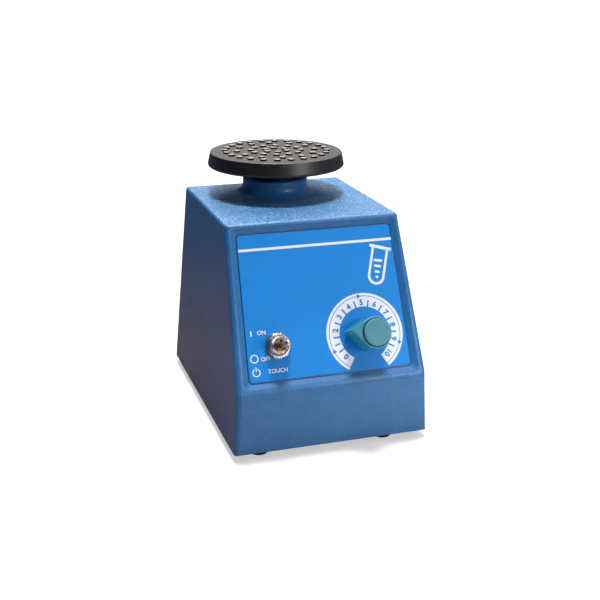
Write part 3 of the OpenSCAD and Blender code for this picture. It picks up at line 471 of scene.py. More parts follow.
def panel_blue():
    """The smooth blue face of the front's plate."""
    material, tree, shader = new_material("panel_blue", Specular_IOR_Level=0.18)
    grain = effect(tree, GRAIN, Size=0.35)
    colour = blended(tree, grain["Mask"], (0.007, 0.225, 0.67), (0.011, 0.250, 0.73))
    joined(tree, shader, Base_Color=colour, Roughness=uneven(tree, grain, 0.40, 0.48))
    bumped(tree, shader, grain["Height"], 0.12, 0.02)
    return material


def ink(name, colour, lightened):
    """Print that is slightly uneven."""
    material, tree, shader = new_material(name)
    grain = effect(tree, GRAIN, Size=0.6)
    joined(tree, shader, Base_Color=blended(tree, grain["Mask"], colour, lightened),
           Roughness=uneven(tree, grain, 0.42, 0.5))
    return material


def moulded(name, colour, shade, edge_highlight, size, roughness, depth):
    """Moulded plastic: fine grain, and a painted highlight on its edges."""
    material, tree, shader = new_material(name, Specular_IOR_Level=0.5)
    grain = effect(tree, GRAIN, Size=size)
    edges_lit_and_worn = effect(tree, EDGE_HIGHLIGHT_AND_WEAR, Radius=0.0005)
    body = blended(tree, grain["Mask"], colour, shade)
    # Painted highlight: the edges take the edge colour.
    joined(tree, shader, Base_Color=blended(tree, times(tree, edges_lit_and_worn["Mask"], 0.7), body, edge_highlight),
           Roughness=uneven(tree, grain, roughness - 0.05, roughness + 0.05))
    bumped(tree, shader, grain["Height"], 0.3, depth)
    return material


def rubber(name, colour, dust, amount, edge_light_and_wear=0.35, shine=0.8):
    """Matt rubber with a pale colour on what looks up, dust on most parts and a painted highlight on the nub tops,
    and edges greyed, part wear and part painted highlight.
    """
    material, tree, shader = new_material(name, Specular_IOR_Level=shine)
    grain = effect(tree, GRAIN, Size=0.7)
    dust_and_top_light = effect(tree, UPWARD_DUST_AND_LIGHT, Size=5.0, Amount=amount)
    edges_lit_and_worn = effect(tree, EDGE_HIGHLIGHT_AND_WEAR, Radius=0.0006)
    body = blended(tree, grain["Mask"], colour, tuple(1.35 * c for c in colour))
    # Edges greyed toward the pale colour: partly wear, partly painted highlight.
    greyed = blended(tree, times(tree, edges_lit_and_worn["Mask"], edge_light_and_wear), body, dust)
    joined(tree, shader, Base_Color=blended(tree, dust_and_top_light["Mask"], greyed, dust),
           Roughness=uneven(tree, grain, 0.36, 0.48))
    bumped(tree, shader, grain["Height"], 0.35, 0.06)
    return material


def metal(name, colour, shade, roughness, size=0.8, depth=0.01):
    """Bare or plated metal with a faint drawn grain."""
    material, tree, shader = new_material(name, Metallic=1.0)
    grain = effect(tree, GRAIN, Size=size)
    joined(tree, shader, Base_Color=blended(tree, grain["Mask"], colour, shade),
           Roughness=mapped(tree, grain["Mask"], 0.0, 1.0, roughness, roughness + 0.14))
    bumped(tree, shader, grain["Height"], 0.2, depth)
    return material


BLACK = (0.012, 0.012, 0.013)
DULL = (0.05, 0.05, 0.05)
# Colour, second colour, colour of the painted edge highlight, size of the grain, roughness, depth of the relief
MOULDED = {
    "knob_teal": ((0.010, 0.200, 0.290), (0.016, 0.240, 0.330), (0.16, 0.74, 0.80), 0.5, 0.38, 0.03),
    "cap_teal": ((0.050, 0.225, 0.300), (0.072, 0.262, 0.340), (0.09, 0.64, 0.70), 0.45, 0.48, 0.04),
    "hub_black": (BLACK, (0.018, 0.018, 0.02), DULL, 0.6, 0.42, 0.02),
    "phenolic": (BLACK, (0.02, 0.018, 0.017), DULL, 0.7, 0.36, 0.02),
    "component_black": (BLACK, (0.02, 0.02, 0.02), DULL, 0.5, 0.45, 0.02),
    "inlet_black": (BLACK, (0.02, 0.02, 0.021), (0.06, 0.06, 0.06), 0.5, 0.38, 0.02),
    "pot_brown": ((0.26, 0.17, 0.09), (0.32, 0.21, 0.12), (0.4, 0.3, 0.2), 0.8, 0.45, 0.02),
    "board_green": ((0.012, 0.13, 0.045), (0.02, 0.17, 0.06), (0.2, 0.3, 0.15), 1.0, 0.35, 0.01),
    "film_yellow": ((0.62, 0.47, 0.07), (0.68, 0.53, 0.10), (0.8, 0.7, 0.3), 0.8, 0.35, 0.02),
    "terminal_green": ((0.03, 0.26, 0.10), (0.04, 0.31, 0.13), (0.15, 0.5, 0.3), 0.7, 0.40, 0.02),
    "wire_cover": ((0.30, 0.03, 0.02), (0.36, 0.045, 0.03), (0.5, 0.15, 0.12), 0.6, 0.38, 0.01),
    "nylon_white": ((0.72, 0.72, 0.68), (0.78, 0.78, 0.74), (0.85, 0.85, 0.82), 0.8, 0.42, 0.02),
}
# Colour, second colour, roughness, and where they differ the grain's size and the relief's depth
METALS = {
    "nickel": ((0.80, 0.71, 0.62), (0.74, 0.65, 0.56), 0.16, 3.0, 0.002),
    "steel": ((0.60, 0.61, 0.62), (0.50, 0.51, 0.52), 0.30, 1.5),
    "screw_steel": ((0.68, 0.68, 0.67), (0.56, 0.56, 0.56), 0.22),
    "aluminium": ((0.72, 0.73, 0.74), (0.62, 0.63, 0.64), 0.34, 1.2, 0.03),
    "bearing_steel": ((0.78, 0.78, 0.78), (0.70, 0.70, 0.71), 0.10),
    "brass": ((0.72, 0.55, 0.26), (0.62, 0.46, 0.20), 0.22),
    "lamination": ((0.30, 0.31, 0.33), (0.22, 0.22, 0.24), 0.42, 0.5, 0.05),
    "copper": ((0.70, 0.32, 0.14), (0.52, 0.20, 0.08), 0.26, 0.5, 0.08),
}
FINISHES = {
    "housing_paint": housing_paint(),
    "panel_print": panel_blue(),
    "cover_rubber": rubber("cover_rubber", (0.010, 0.007, 0.007), (0.062, 0.054, 0.049), 0.8),
    "rubber": rubber("rubber", BLACK, (0.10, 0.10, 0.10), 0.3),
    **{name: moulded(name, *values) for name, values in MOULDED.items()},
    **{name: metal(name, *values) for name, values in METALS.items()},
}
# The nubs' pale tops are a painted highlight, laid on by the upward mask.
NUB_RUBBER = rubber("nub_rubber", (0.004, 0.003, 0.003), (0.40, 0.38, 0.35), 1.4,
                    edge_light_and_wear=0.04, shine=0.15)
WHITE_INK = ink("white_ink", (0.80, 0.81, 0.90), (0.85, 0.86, 0.94))
BLUE_INK = ink("blue_ink", (0.008, 0.17, 0.60), (0.010, 0.20, 0.66))


def finish_kept_nodes():
    """Gives every node of the frame the finish of its slot."""
    for row in frame["record"]["subparts"]:
        obj = frame["nodes"][row["node"]]
        if not obj.material_slots:
            obj.data.materials.append(None)
        for slot in obj.material_slots:
            slot.material = FINISHES[row["material_slot"]]


# ---- housing ----

CORNER_R = 4.0
BACK_R = 3.2
SIDE_R = 3.0
TOP_FRONT_R = 1.3
TOP_R = 1.8
BEND_R = 1.4
RIM_R = 0.6


def housing_section(inset):
    """The five corners (y, z) of the housing's side, moved inwards by the inset."""
    top = TOP_Z - inset
    lean = math.tan(BACK_A)
    bend = BEND_Z - inset * math.tan(SLOPE_A / 2)
    slope_y = (top - BEND_Z) * math.tan(SLOPE_A) + inset / math.cos(SLOPE_A)
    back = HOUSING_D - inset / math.cos(BACK_A)
    return [(inset, RIM_Z), (inset, bend), (slope_y, top),
            (back - (top - RIM_Z) * lean, top), (back, RIM_Z)]


def draw_shell(bm):
    """Outer and inner wall with an open underside. Edges to round carry their share of a radius."""
    weight = bm.edges.layers.float.new("bevel_weight_edge")
    walls = {}
    for inset in (0, WALL):
        corners = [[bm.verts.new((s * (HOUSING_W / 2 - (z - RIM_Z) * SIDE_K - inset), y, z))
                    for y, z in housing_section(inset)] for s in (-1, 1)]
        for side in corners:
            bm.faces.new(side)
        for i in range(4):
            bm.faces.new((corners[0][i], corners[0][i + 1], corners[1][i + 1], corners[1][i]))
        walls[inset] = corners
    outer, inner = walls[0], walls[WALL]
    rims = [[w[0][0], w[1][0], w[1][4], w[0][4]] for w in (outer, inner)]
    for i in range(4):
        j = (i + 1) % 4
        bm.faces.new((rims[0][i], rims[0][j], rims[1][j], rims[1][i]))
    left, right = outer
    radii = {(0, 1): CORNER_R, (1, 2): SIDE_R, (2, 3): TOP_R, (3, 4): BACK_R}
    for (a, b), radius in radii.items():
        for side in outer:
            bm.edges.get((side[a], side[b]))[weight] = radius / CORNER_R
    for i, radius in ((0, RIM_R), (1, BEND_R), (2, TOP_FRONT_R), (3, TOP_R), (4, RIM_R)):
        bm.edges.get((left[i], right[i]))[weight] = radius / CORNER_R
    for side in outer:
        bm.edges.get((side[0], side[4]))[weight] = RIM_R / CORNER_R


LABEL_LOW_W = 102
LABEL_HIGH_W = 97
LABEL_V = 7.4
LABEL_LEN = 87.2
LABEL_CORNER = 2.2
POCKET_FLOOR = -2.0
GROOVE_FLOOR = -2.6


def label_outline(grow, radius, steps=8):
    """The panel plate's outline on the slope, grown outwards."""
    low, high = LABEL_LOW_W / 2 + grow, LABEL_HIGH_W / 2 + grow
    bottom, top = LABEL_V - grow, LABEL_V + LABEL_LEN + grow
    return rounded([(-low, bottom), (low, bottom), (high, top), (-high, top)], radius, steps)


def draw_pocket(bm):
    """The space of the pocket: a groove round the plate, and a wall that rolls into the slope."""
    gap, rim, outside, above = 0.55, 4.4, 8.4, 3
    wall_foot, roll_r = -1.9, 4.0
    profile = [(gap, GROOVE_FLOOR)] + rounded(
        [(gap, wall_foot), (rim, 0), (outside, 0.12)], [0, roll_r, 0], 8, False)
    rings = [at_height(label_outline(grow, LABEL_CORNER + 0.25 * grow), z) for grow, z in profile]
    rings.append(at_height(label_outline(outside, LABEL_CORNER + 1), above))
    skin(bm, rings)


COLLAR_TOP = 144
COLLAR_R = 21.5
COLLAR_BORE = 17
THROUGH = -8  # holes are cut from here, behind the wall,
CLEAR = 3  # to here, above its face
SWITCH_HOLE_R = 6.1
KNOB_HOLE_R = 4.6
FUSE_HOLE_R = 6.1
INLET_HOLE_R = 1.6
INLET_SCREW_X = 20


def draw_collar(bm):
    """The collar in the top, with a fillet at its foot that ends inside the housing's wall."""
    foot_r, sunk = COLLAR_R + 9, TOP_Z - 2
    profile = rounded([(0, COLLAR_TOP), (COLLAR_R, COLLAR_TOP), (COLLAR_R, TOP_Z),
                       (foot_r, TOP_Z - 0.1), (foot_r, sunk)], [0, 1.4, 6.0, 0, 0], 10, False)
    turned(bm, profile + [(0, sunk)], 128)


def draw_bore(bm, radius, low, high, flare=0.0):
    """A round hole's space, which widens toward its mouth by the flare."""
    turned(bm, [(0, low), (radius, low), (radius, high - 1.2), (radius + flare, high + 0.01),
                (0, high + 0.01)], 96)


def drilled(obj, place, spot, radius):
    """Cuts a round hole right through a wall or a plate."""
    cut(obj, shifted(place, *spot), draw_bore, radius, THROUGH, CLEAR)


def make_housing():
    shell = drawn("housing_shell", HOUSING, draw_shell)
    bevel = shell.modifiers.new("rounded edges", "BEVEL")
    bevel.limit_method = "WEIGHT"
    bevel.width = CORNER_R * 0.001
    bevel.segments = 8
    bevel.use_clamp_overlap = False
    applied(shell)
    combined(shell, drawn("collar", MOTOR, draw_collar), "UNION")
    cut(shell, MOTOR, draw_bore, COLLAR_BORE, TOP_Z - 8, COLLAR_TOP, 0.9)
    cut(shell, SLOPE, draw_pocket)
    drilled(shell, SLOPE, SWITCH_AT, SWITCH_HOLE_R)
    drilled(shell, SLOPE, KNOB_AT, KNOB_HOLE_R)
    cut(shell, back_place(INLET_AT), plate, box_outline(28.2, 20.2), THROUGH, CLEAR)
    for x in (-INLET_SCREW_X, INLET_SCREW_X):
        drilled(shell, back_place(INLET_AT), (x, 0), INLET_HOLE_R)
    drilled(shell, back_place(FUSE_AT), (0, 0), FUSE_HOLE_R)
    kept(shell, "root", "housing_paint", "housing", angle=35)


# ---- control panel ----

INK = 0.05
DIAL_AT = (23.9, 29.3)
DIAL_START = 238.4
DIAL_END = -58.4
DIAL_BANDS = ((16.3, 22.5), (22.95, 24.5))
TICK_FIRST = 208.7
TICK_STEP = 26.4
FIGURES_R = 18.95
END_FIGURES = {0: 223.0, 10: -44.4}
ARROWS_R = 22.7
ARROW_ANGLES = (202.6, 92.5, -20.5)
HEADER_LOW = 84.75
HEADER_HIGH = 86.3
EDGE_GAP = 0.13
FULL_TURN = 359.99  # a hair less than 360 degrees keeps a ring's outline in one piece


def make_label():
    def draw(bm):
        profile = [(-0.15, POCKET_FLOOR), (0, POCKET_FLOOR + 0.15), (0, PLATE_Z - 0.12),
                   (-0.12, PLATE_Z)]
        skin(bm, [at_height(label_outline(grow, LABEL_CORNER), z) for grow, z in profile])
    label = drawn("panel_label", SLOPE, draw)
    drilled(label, SLOPE, SWITCH_AT, SWITCH_HOLE_R)
    drilled(label, SLOPE, KNOB_AT, KNOB_HOLE_R)
    kept(label, "root", "panel_print", "panel_plate")


def add_text(bm, text, height, place, weight=0.0):
    """Letters of the given cap height, centred on the place, as a thin raised print."""
    cap_share = 0.729
    data = bpy.data.curves.new("letters", "FONT")
    data.body, data.size = text, height / cap_share
    data.align_x, data.extrude, data.offset = "CENTER", INK / 2, weight
    data.resolution_u = 6
    source = bpy.data.objects.new("letters", data)
    bpy.context.scene.collection.objects.link(source)
    graph = bpy.context.evaluated_depsgraph_get()
    mesh = bpy.data.meshes.new_from_object(source.evaluated_get(graph), depsgraph=graph)
    mesh.transform(place @ Matrix.Translation((0, -height / 2, INK / 2)))
    bm.from_mesh(mesh)
    bpy.data.objects.remove(source)
    bpy.data.curves.remove(data)
    bpy.data.meshes.remove(mesh)


def moved(outline, at, degrees=0.0):
    """The outline turned about its origin and set down at a point."""
    turn = Matrix.Rotation(math.radians(degrees), 2)
    return [turn @ Vector(p) + Vector(at) for p in outline]


def draw_white_print(bm):
    """Header line, the dial's two bands, the switch's words and signs, and a tube sign."""
    low, high = [LABEL_LOW_W / 2 - (LABEL_LOW_W - LABEL_HIGH_W) / 2 * (v - LABEL_V) / LABEL_LEN
                 - EDGE_GAP for v in (HEADER_LOW, HEADER_HIGH)]
    plate(bm, [(-low, HEADER_LOW), (low, HEADER_LOW), (high, HEADER_HIGH), (-high, HEADER_HIGH)],
          0, INK)
    for inner, outer in DIAL_BANDS:
        plate(bm, moved(sector(inner, outer, DIAL_END, DIAL_START, 120), DIAL_AT), 0, INK)
    for word, u, v in (("ON", -40.4, 36.4), ("OFF", -39.6, 20.8), ("TOUCH", -33.0, 13.2)):
        add_text(bm, word, 2.5, Matrix.Translation((u, v, 0)), 0.06)
    bar, ring = box_outline(0.8, 3.3), sector(1.95, 2.55, 0, FULL_TURN, 48)
    open_ring, stroke = sector(1.9, 2.5, 118, 422, 48), box_outline(0.6, 2.8)
    for sign, at in ((bar, (-46.8, 36.2)), (ring, (-46.5, 21.3)),
                     (open_ring, (-46.2, 13.2)), (stroke, (-46.2, 15.1))):
        plate(bm, moved(sign, at), 0, INK)
    draw_tube_sign(bm)


def draw_tube_sign(bm):
    """A plain test tube with liquid whirling in it."""
    at, lean = (37.6, 69.2), -16
    wall, radius, length = 1.5, 5.4, 23
    foot = moved([(0, -length / 2 + radius)], at, lean)[0]
    plate(bm, moved(sector(radius - wall, radius, 180, 360, 24), foot, lean), 0, INK)
    for side in (-1, 1):
        centre = (side * (radius - wall / 2), radius / 2)
        plate(bm, moved(box_outline(wall, length - radius, centre), at, lean), 0, INK)
    lip = rounded(box_outline(2 * radius + 3.4, 1.9, (0, length / 2 + 0.4)), 0.8)
    plate(bm, moved(lip, at, lean), 0, INK)
    for width, level in ((5.6, 3.6), (4.6, 0.1), (3.4, -3.4), (1.9, -6.6)):
        plate(bm, moved(rounded(box_outline(width, 1.5, (0, level)), 0.7, 4), at, lean + 5), 0, INK)


def draw_blue_print(bm):
    """Ticks, figures and arrowheads on the dial's white bands."""
    for i in range(10):
        angle = TICK_FIRST - TICK_STEP * i
        tick = box_outline(4.1, 0.95, (18.3, 0))
        plate(bm, moved(tick, DIAL_AT, angle), INK / 2, 2 * INK)
    for i in range(11):
        angle = math.radians(END_FIGURES.get(i, TICK_FIRST - TICK_STEP * (i - 0.5)))
        spot = Matrix.Translation((DIAL_AT[0] + FIGURES_R * math.cos(angle),
                                   DIAL_AT[1] + FIGURES_R * math.sin(angle), INK))
        add_text(bm, str(i), 3.4, spot @ Matrix.Rotation(angle - math.pi / 2, 4, "Z"), 0.2)
    arrow = [(ARROWS_R - 1.45, 1.2), (ARROWS_R + 1.45, 1.2), (ARROWS_R, -1.3)]
    for angle in ARROW_ANGLES:
        plate(bm, moved(arrow, DIAL_AT, angle), INK / 2, 2 * INK)


def make_prints():
    kept(drawn("white_print", PANEL, draw_white_print), "root", "panel_print", finish=WHITE_INK)
    kept(drawn("blue_print", PANEL, draw_blue_print), "root", "panel_print", finish=BLUE_INK)


# ---- speed knob ----

KNOB_TURN = 168.5
KNOB_R = 10.0
KNOB_TIP = 15.8
KNOB_H = 15.4
KNOB_LIFT = 1.2
CAP_R = 8.2
CAP_RISE = 2.2
CAP_GAP = 0.7
KNOB_SIDES = 180


def teardrop(shrink):
    """Round body with two straight flanks that meet in a slightly blunted tip."""
    radius, tip = KNOB_R - shrink, KNOB_TIP - 2.4 * shrink
    touch = math.acos(radius / tip)
    result = []
    for i in range(KNOB_SIDES):
        angle = 2 * math.pi * i / KNOB_SIDES
        off = abs((angle + math.pi) % (2 * math.pi) - math.pi)
        reach = radius / math.cos(off - touch) if off < touch else radius
        reach = min(reach, tip - 0.25)
        result.append((reach * math.cos(angle), reach * math.sin(angle)))
    return result


def draw_knob(bm):
    """Body with rounded upper edges and a round well for the cap."""
    flanks = ((0.35, KNOB_LIFT), (0.0, KNOB_LIFT + 0.4), (0.3, KNOB_H - 0.45),
              (0.42, KNOB_H - 0.12), (0.62, KNOB_H))
    well_r = CAP_R + CAP_GAP
    well = ((well_r, KNOB_H), (well_r - 0.12, KNOB_H - 0.3), (well_r - 0.12, KNOB_H - 3.2))
    skin(bm, [at_height(teardrop(shrink), z) for shrink, z in flanks]
         + [at_height(circle(radius, KNOB_SIDES), z) for radius, z in well])


def make_knob():
    place = spun(shifted(PANEL, *KNOB_AT), KNOB_TURN)
    kept(drawn("knob_body", place, draw_knob), "knob", "knob_teal", "speed_knob")
    top = KNOB_H + CAP_RISE
    profile = rounded([(0, KNOB_H - 3), (CAP_R, KNOB_H - 3), (CAP_R, top), (0, top + 0.05)],
                      [0, 0, 0.55, 0], 6, False)
    kept(drawn("knob_disc", place, turned, profile), "knob", "cap_teal", "knob_cap")


# ---- power switch ----

BUSHING_TOP = 7.0
BUSHING_R = 6.0
NUT_AF = 14
NUT_H = 2.4
NUT_TURN = -22
WASHER_T = 0.6
LEVER_PIVOT = BUSHING_TOP - 4.2
LEVER_TIP = 24.3
TIP_R = 2.2


def draw_bushing(bm):
    """Threaded bushing with a chamfered rim and a cone-shaped mouth round the lever."""
    pitch, depth, low = 0.8, 0.35, -WALL + 1.2
    turns = int((BUSHING_TOP - low - 0.8) / pitch)
    thread = []
    for k in range(turns):
        z = low + k * pitch
        thread += [(BUSHING_R - depth, z + 0.1), (BUSHING_R, z + 0.38), (BUSHING_R, z + 0.5)]
    mouth = [(BUSHING_R - 0.75, BUSHING_TOP), (4.5, BUSHING_TOP), (4.2, BUSHING_TOP - 0.25),
             (3.45, BUSHING_TOP - 1.8), (3.45, low)]
    turned(bm, thread + [(BUSHING_R - depth, BUSHING_TOP - 0.7)] + mouth, 72, wrap=True)


def draw_nut(bm):
    """Six-sided nut, its corners cut back by a cone above, with a chamfered bore."""
    count, half, bore = 120, NUT_AF / 2, BUSHING_R + 0.02
    directions = [2 * math.pi * i / count for i in range(count)]

    def reach(angle):
        return half / math.cos((angle + math.pi / 6) % (math.pi / 3) - math.pi / 6)

    def ring(radius, height):
        return [(radius(a) * math.cos(a), radius(a) * math.sin(a), height(a)) for a in directions]
    rings = [ring(lambda a: min(reach(a), half * 1.06), lambda a: 0),
             ring(reach, lambda a: (reach(a) - half) * 0.3 + 0.05),
             ring(reach, lambda a: NUT_H - 0.08 - (reach(a) - half) * 0.4),
             ring(lambda a: half * 0.985, lambda a: NUT_H),
             ring(lambda a: bore + 0.45, lambda a: NUT_H),
             ring(lambda a: bore, lambda a: NUT_H - 0.4),
             ring(lambda a: bore, lambda a: 0)]
    skin(bm, rings, wrap=True)


def make_switch():
    place = shifted(PANEL, *SWITCH_AT)
    bushing = drawn("switch_thread", place, draw_bushing)
    cut(bushing, place, plate, box_outline(1.5, 1.6, (0, -BUSHING_R + 0.4)), 0.5, BUSHING_TOP + 1)
    kept(bushing, "root", "nickel", "switch_bushing", angle=40)
    inner, outer = BUSHING_R + 0.03, NUT_AF / 2 + 0.6
    washer = rounded([(inner, 0), (outer, 0), (outer, WASHER_T), (inner, WASHER_T)],
                     [0, 0.15, 0.15, 0.1], 3)
    kept(drawn("switch_ring", place, turned, washer, wrap=True), "root", "nickel", "switch_washer")
    nut_place = spun(shifted(place, 0, 0, WASHER_T), NUT_TURN)
    kept(drawn("switch_hex_nut", nut_place, draw_nut), "root", "nickel", "switch_nut", angle=20)
    ball_r, neck_r, shoulder = 3.4, 1.5, BUSHING_TOP + 2
    ball = [(ball_r * math.sin(math.radians(a)), LEVER_PIVOT - ball_r * math.cos(math.radians(a)))
            for a in range(0, 101, 10)]
    tip = [(TIP_R * math.cos(math.radians(a)), LEVER_TIP - TIP_R + TIP_R * math.sin(math.radians(a)))
           for a in range(0, 90, 10)]
    profile = ball + [(2.7, LEVER_PIVOT + 1.2), (1.8, LEVER_PIVOT + 2.6), (neck_r, shoulder - 1.5),
                      (neck_r + 0.1, shoulder + 1.2)] + tip + [(0, LEVER_TIP)]
    kept(drawn("toggle_lever", place, turned, profile, 48), "lever", "nickel", "switch_lever", angle=60)


# ---- platform ----

COVER_LOW = 152.0
COVER_TOP = 161.3
COVER_TOP_R = 43.4
COVER_LOW_R = 45.5
PLATE_TOP = 158.8
PLATE_R = 41.0
PLATE_T = 3
HUB_LOW = 146.6
HUB_R = 21.0
STEM_LOW = 126.4
STEM_R = 13
STEM_BORE = 9.5
NUB_R = 2.2
NUB_H = 1.1
NUB_RINGS = ((0.18, 6, 24), (0.40, 12, 15), (0.63, 12, 23), (0.82, 24, 0))


def geometry_tree(name, inputs):
    """An empty geometry tree, the sockets of its named inputs, and its output node."""
    tree = bpy.data.node_groups.new(name, "GeometryNodeTree")
    tree.interface.new_socket("Geometry", in_out="OUTPUT", socket_type="NodeSocketGeometry")
    for label, kind in inputs.items():
        tree.interface.new_socket(label, in_out="INPUT", socket_type=f"NodeSocket{kind}")
    return tree, tree.nodes.new("NodeGroupInput").outputs, tree.nodes.new("NodeGroupOutput")


def end_tree(tree, copied, finish, result):
    """Makes the copies real and gives them their finish."""
    real = add_node(tree, "GeometryNodeRealizeInstances", {0: copied})
    made = add_node(tree, "GeometryNodeSetMaterial", {"Geometry": real.outputs[0], "Material": finish})
    tree.links.new(made.outputs[0], result.inputs[0])


def ring_tree():
    """Copies of one small shape in concentric rings."""
    sizes = {"Shape": "Object", "Finish": "Material", "Radius": "Float", "Width": "Float",
             "Height": "Float", "Level": "Float"}
    tree, given, result = geometry_tree("rings of nubs", sizes)
    shape = add_node(tree, "GeometryNodeObjectInfo", {"Object": given["Shape"]})
    size = add_node(tree, "ShaderNodeCombineXYZ", {
        0: given["Width"], 1: given["Width"], 2: given["Height"]})
    level = add_node(tree, "ShaderNodeCombineXYZ", {2: given["Level"]})
    join = tree.nodes.new("GeometryNodeJoinGeometry")
    for share, number, first in NUB_RINGS:
        radius = times(tree, given["Radius"], share)
        ring = add_node(tree, "GeometryNodeMeshCircle", {"Vertices": number, "Radius": radius})
        turn = add_node(tree, "GeometryNodeTransform", {
            "Geometry": ring.outputs[0], "Translation": level.outputs[0],
            "Rotation": (0, 0, math.radians(first))})
        placed = add_node(tree, "GeometryNodeInstanceOnPoints", {
            "Points": turn.outputs[0], "Instance": shape.outputs["Geometry"],
            "Scale": size.outputs[0]})
        tree.links.new(placed.outputs[0], join.inputs[0])
    end_tree(tree, join.outputs[0], given["Finish"], result)
    return tree


def scatter_tree():
    """Copies of one shape on the points of a mesh."""
    sockets = {"Points": "Geometry", "Shape": "Object", "Finish": "Material"}
    tree, given, result = geometry_tree("copies on points", sockets)
    shape = add_node(tree, "GeometryNodeObjectInfo", {"Object": given["Shape"]})
    placed = add_node(tree, "GeometryNodeInstanceOnPoints", {
        "Points": given["Points"], "Instance": shape.outputs["Geometry"]})
    end_tree(tree, placed.outputs[0], given["Finish"], result)
    return tree


def grown(obj, tree, values):
    """Runs a geometry tree on an object with the named values, and keeps the plain mesh."""
    modifier = obj.modifiers.new(tree.name, "NODES")
    modifier.node_group = tree
    for item in tree.interface.items_tree:
        if item.name in values:
            modifier[item.identifier] = values[item.name]
    obj.update_tag()
    return applied(obj)


def placed_mesh(obj, place):
    """Carries an object's mesh to its place in the mixer."""
    obj.data.transform(place)
    obj.data.update()
    return obj


def make_nubs():
    """The cover's nubs, one shape of radius and height 1 stretched to size."""
    profile = rounded([(0, -0.5), (1.06, -0.5), (0.94, 1.0), (0, 1.04)], [0, 0, 0.16, 0], 3, False)
    shape = drawn("one_nub", IDENTITY, turned, profile, 20)
    nubs = bpy.data.objects.new("cover_nubs", bpy.data.meshes.new("cover_nubs"))
    bpy.context.scene.collection.objects.link(nubs)
    grown(nubs, ring_tree(), {
        "Shape": shape, "Finish": NUB_RUBBER, "Radius": PLATE_R, "Width": NUB_R,
        "Height": NUB_H, "Level": COVER_TOP})
    bpy.data.objects.remove(shape)
    return placed_mesh(nubs, HEAD)


def make_platform():
    inner = PLATE_R + 0.05
    outline = rounded(
        [(0, COVER_TOP), (COVER_TOP_R, COVER_TOP), (COVER_LOW_R, COVER_LOW), (inner + 0.6, COVER_LOW),
         (inner, COVER_LOW + 0.6), (inner, PLATE_TOP), (0, PLATE_TOP)],
        [0, 0.6, 1.7, 0.5, 0, 0, 0], 6, False)
    cover = drawn("platform_cover", HEAD, turned, outline, 160)
    kept(cover, "head", "cover_rubber", "rubber_cover", angle=50)
    kept(make_nubs(), "head", "cover_rubber", finish=NUB_RUBBER, angle=50)
    plate_low = PLATE_TOP - PLATE_T
    section = rounded([(STEM_BORE, STEM_LOW), (STEM_R, STEM_LOW), (STEM_R, HUB_LOW),
                       (HUB_R, HUB_LOW), (HUB_R, plate_low), (STEM_BORE, plate_low)],
                      [0, 0.5, 0.8, 0.7, 0, 0], 5)
    hub = drawn("platform_neck", HEAD, turned, section, 128, wrap=True)
    kept(hub, "head", "hub_black", "platform_hub")


# ---- feet, screws, inlet and fuse ----

BASE_LOW = RIM_Z + 1
# The feet stand 18 mm in from the left side and 26 mm in from the right side.
FOOT_LEFT = 18 - HOUSING_W / 2
FOOT_RIGHT = HOUSING_W / 2 - 26
FOOT_INSET = 11.2
FEET = [(x, y) for x in (FOOT_LEFT, FOOT_RIGHT) for y in (FOOT_INSET, HOUSING_D - FOOT_INSET)]


def draw_foot(bm):
    """Rubber foot with a sunk hole for its screw."""
    radius, sole, bore, recess = 6.6, 5.7, 1.6, 3.4
    section = rounded([(bore, BASE_LOW), (bore, BASE_LOW - 1), (recess, BASE_LOW - 1), (recess, 0),
                       (sole, 0), (radius, BASE_LOW)], [0, 0, 0, 0.4, 1.1, 0], 5)
    turned(bm, section, 64, wrap=True)


SCATTER = scatter_tree()


def copies(name, shape, spots, place, slot):
    """Copies of a shape at spots of a place, as one mesh."""
    mesh = bpy.data.meshes.new(name)
    mesh.from_pydata([(x, y, 0) for x, y in spots], [], [])
    obj = bpy.data.objects.new(name, mesh)
    bpy.context.scene.collection.objects.link(obj)
    grown(obj, SCATTER, {"Shape": shape, "Finish": FINISHES[slot]})
    bpy.data.objects.remove(shape)
    return placed_mesh(obj, place)


def screw_head():
    """Round-headed screw with a cross recess, its head's underside at z = 0."""
    radius, rim, height, length, thread = 2.9, 0.45, 1.8, 4.0, 1.5
    dome = [(radius * math.cos(math.radians(a)), rim + (height - rim) * math.sin(math.radians(a)))
            for a in range(0, 90, 15)]
    profile = [(0, -length), (thread, -length), (thread, 0), (radius, 0)] + dome + [(0, height)]
    screw = drawn("one_screw", IDENTITY, turned, profile, 40)
    for turn in (0, 90):
        arm = moved(box_outline(2 * radius * 0.62, radius * 0.2), (0, 0), turn)
        cut(screw, IDENTITY, plate, arm, height - 1.0, height + 1)
    return screw


def make_feet():
    feet = copies("feet", drawn("one_foot", IDENTITY, draw_foot), FEET, HOUSING, "rubber")
    kept(feet, "root", "rubber", "rubber_feet", angle=40)


def make_inlet():
    """Mains inlet: a flange with round corners, a deep socket and two screws."""
    place = back_place(INLET_AT)
    face = 2

    def ring(width, height, radii, z):
        return at_height(rounded(box_outline(width, height), radii), z)

    def hole(grow, z):
        return ring(24.6 + 2 * grow, 16.6 + 2 * grow, [1.2, 1.2, 4.6, 4.6], z)
    rings = [ring(28, 20, 1.5, -17.5), ring(28, 20, 1.5, 0), ring(50, 24, 4, 0), ring(50, 24, 4, 1.3),
             ring(49.6, 23.6, 3.8, 1.8), ring(48.8, 22.8, 3.5, face),
             hole(0.5, face), hole(0.1, 1.6), hole(0, -14.5)]
    kept(drawn("mains_inlet", place, skin, rings), "root", "inlet_black", "power_inlet", angle=35)
    spots = [(-INLET_SCREW_X, 0), (INLET_SCREW_X, 0)]
    screws = copies("inlet_screw_heads", screw_head(), spots, shifted(place, 0, 0, face), "screw_steel")
    kept(screws, "root", "screw_steel", "inlet_screws", angle=40)


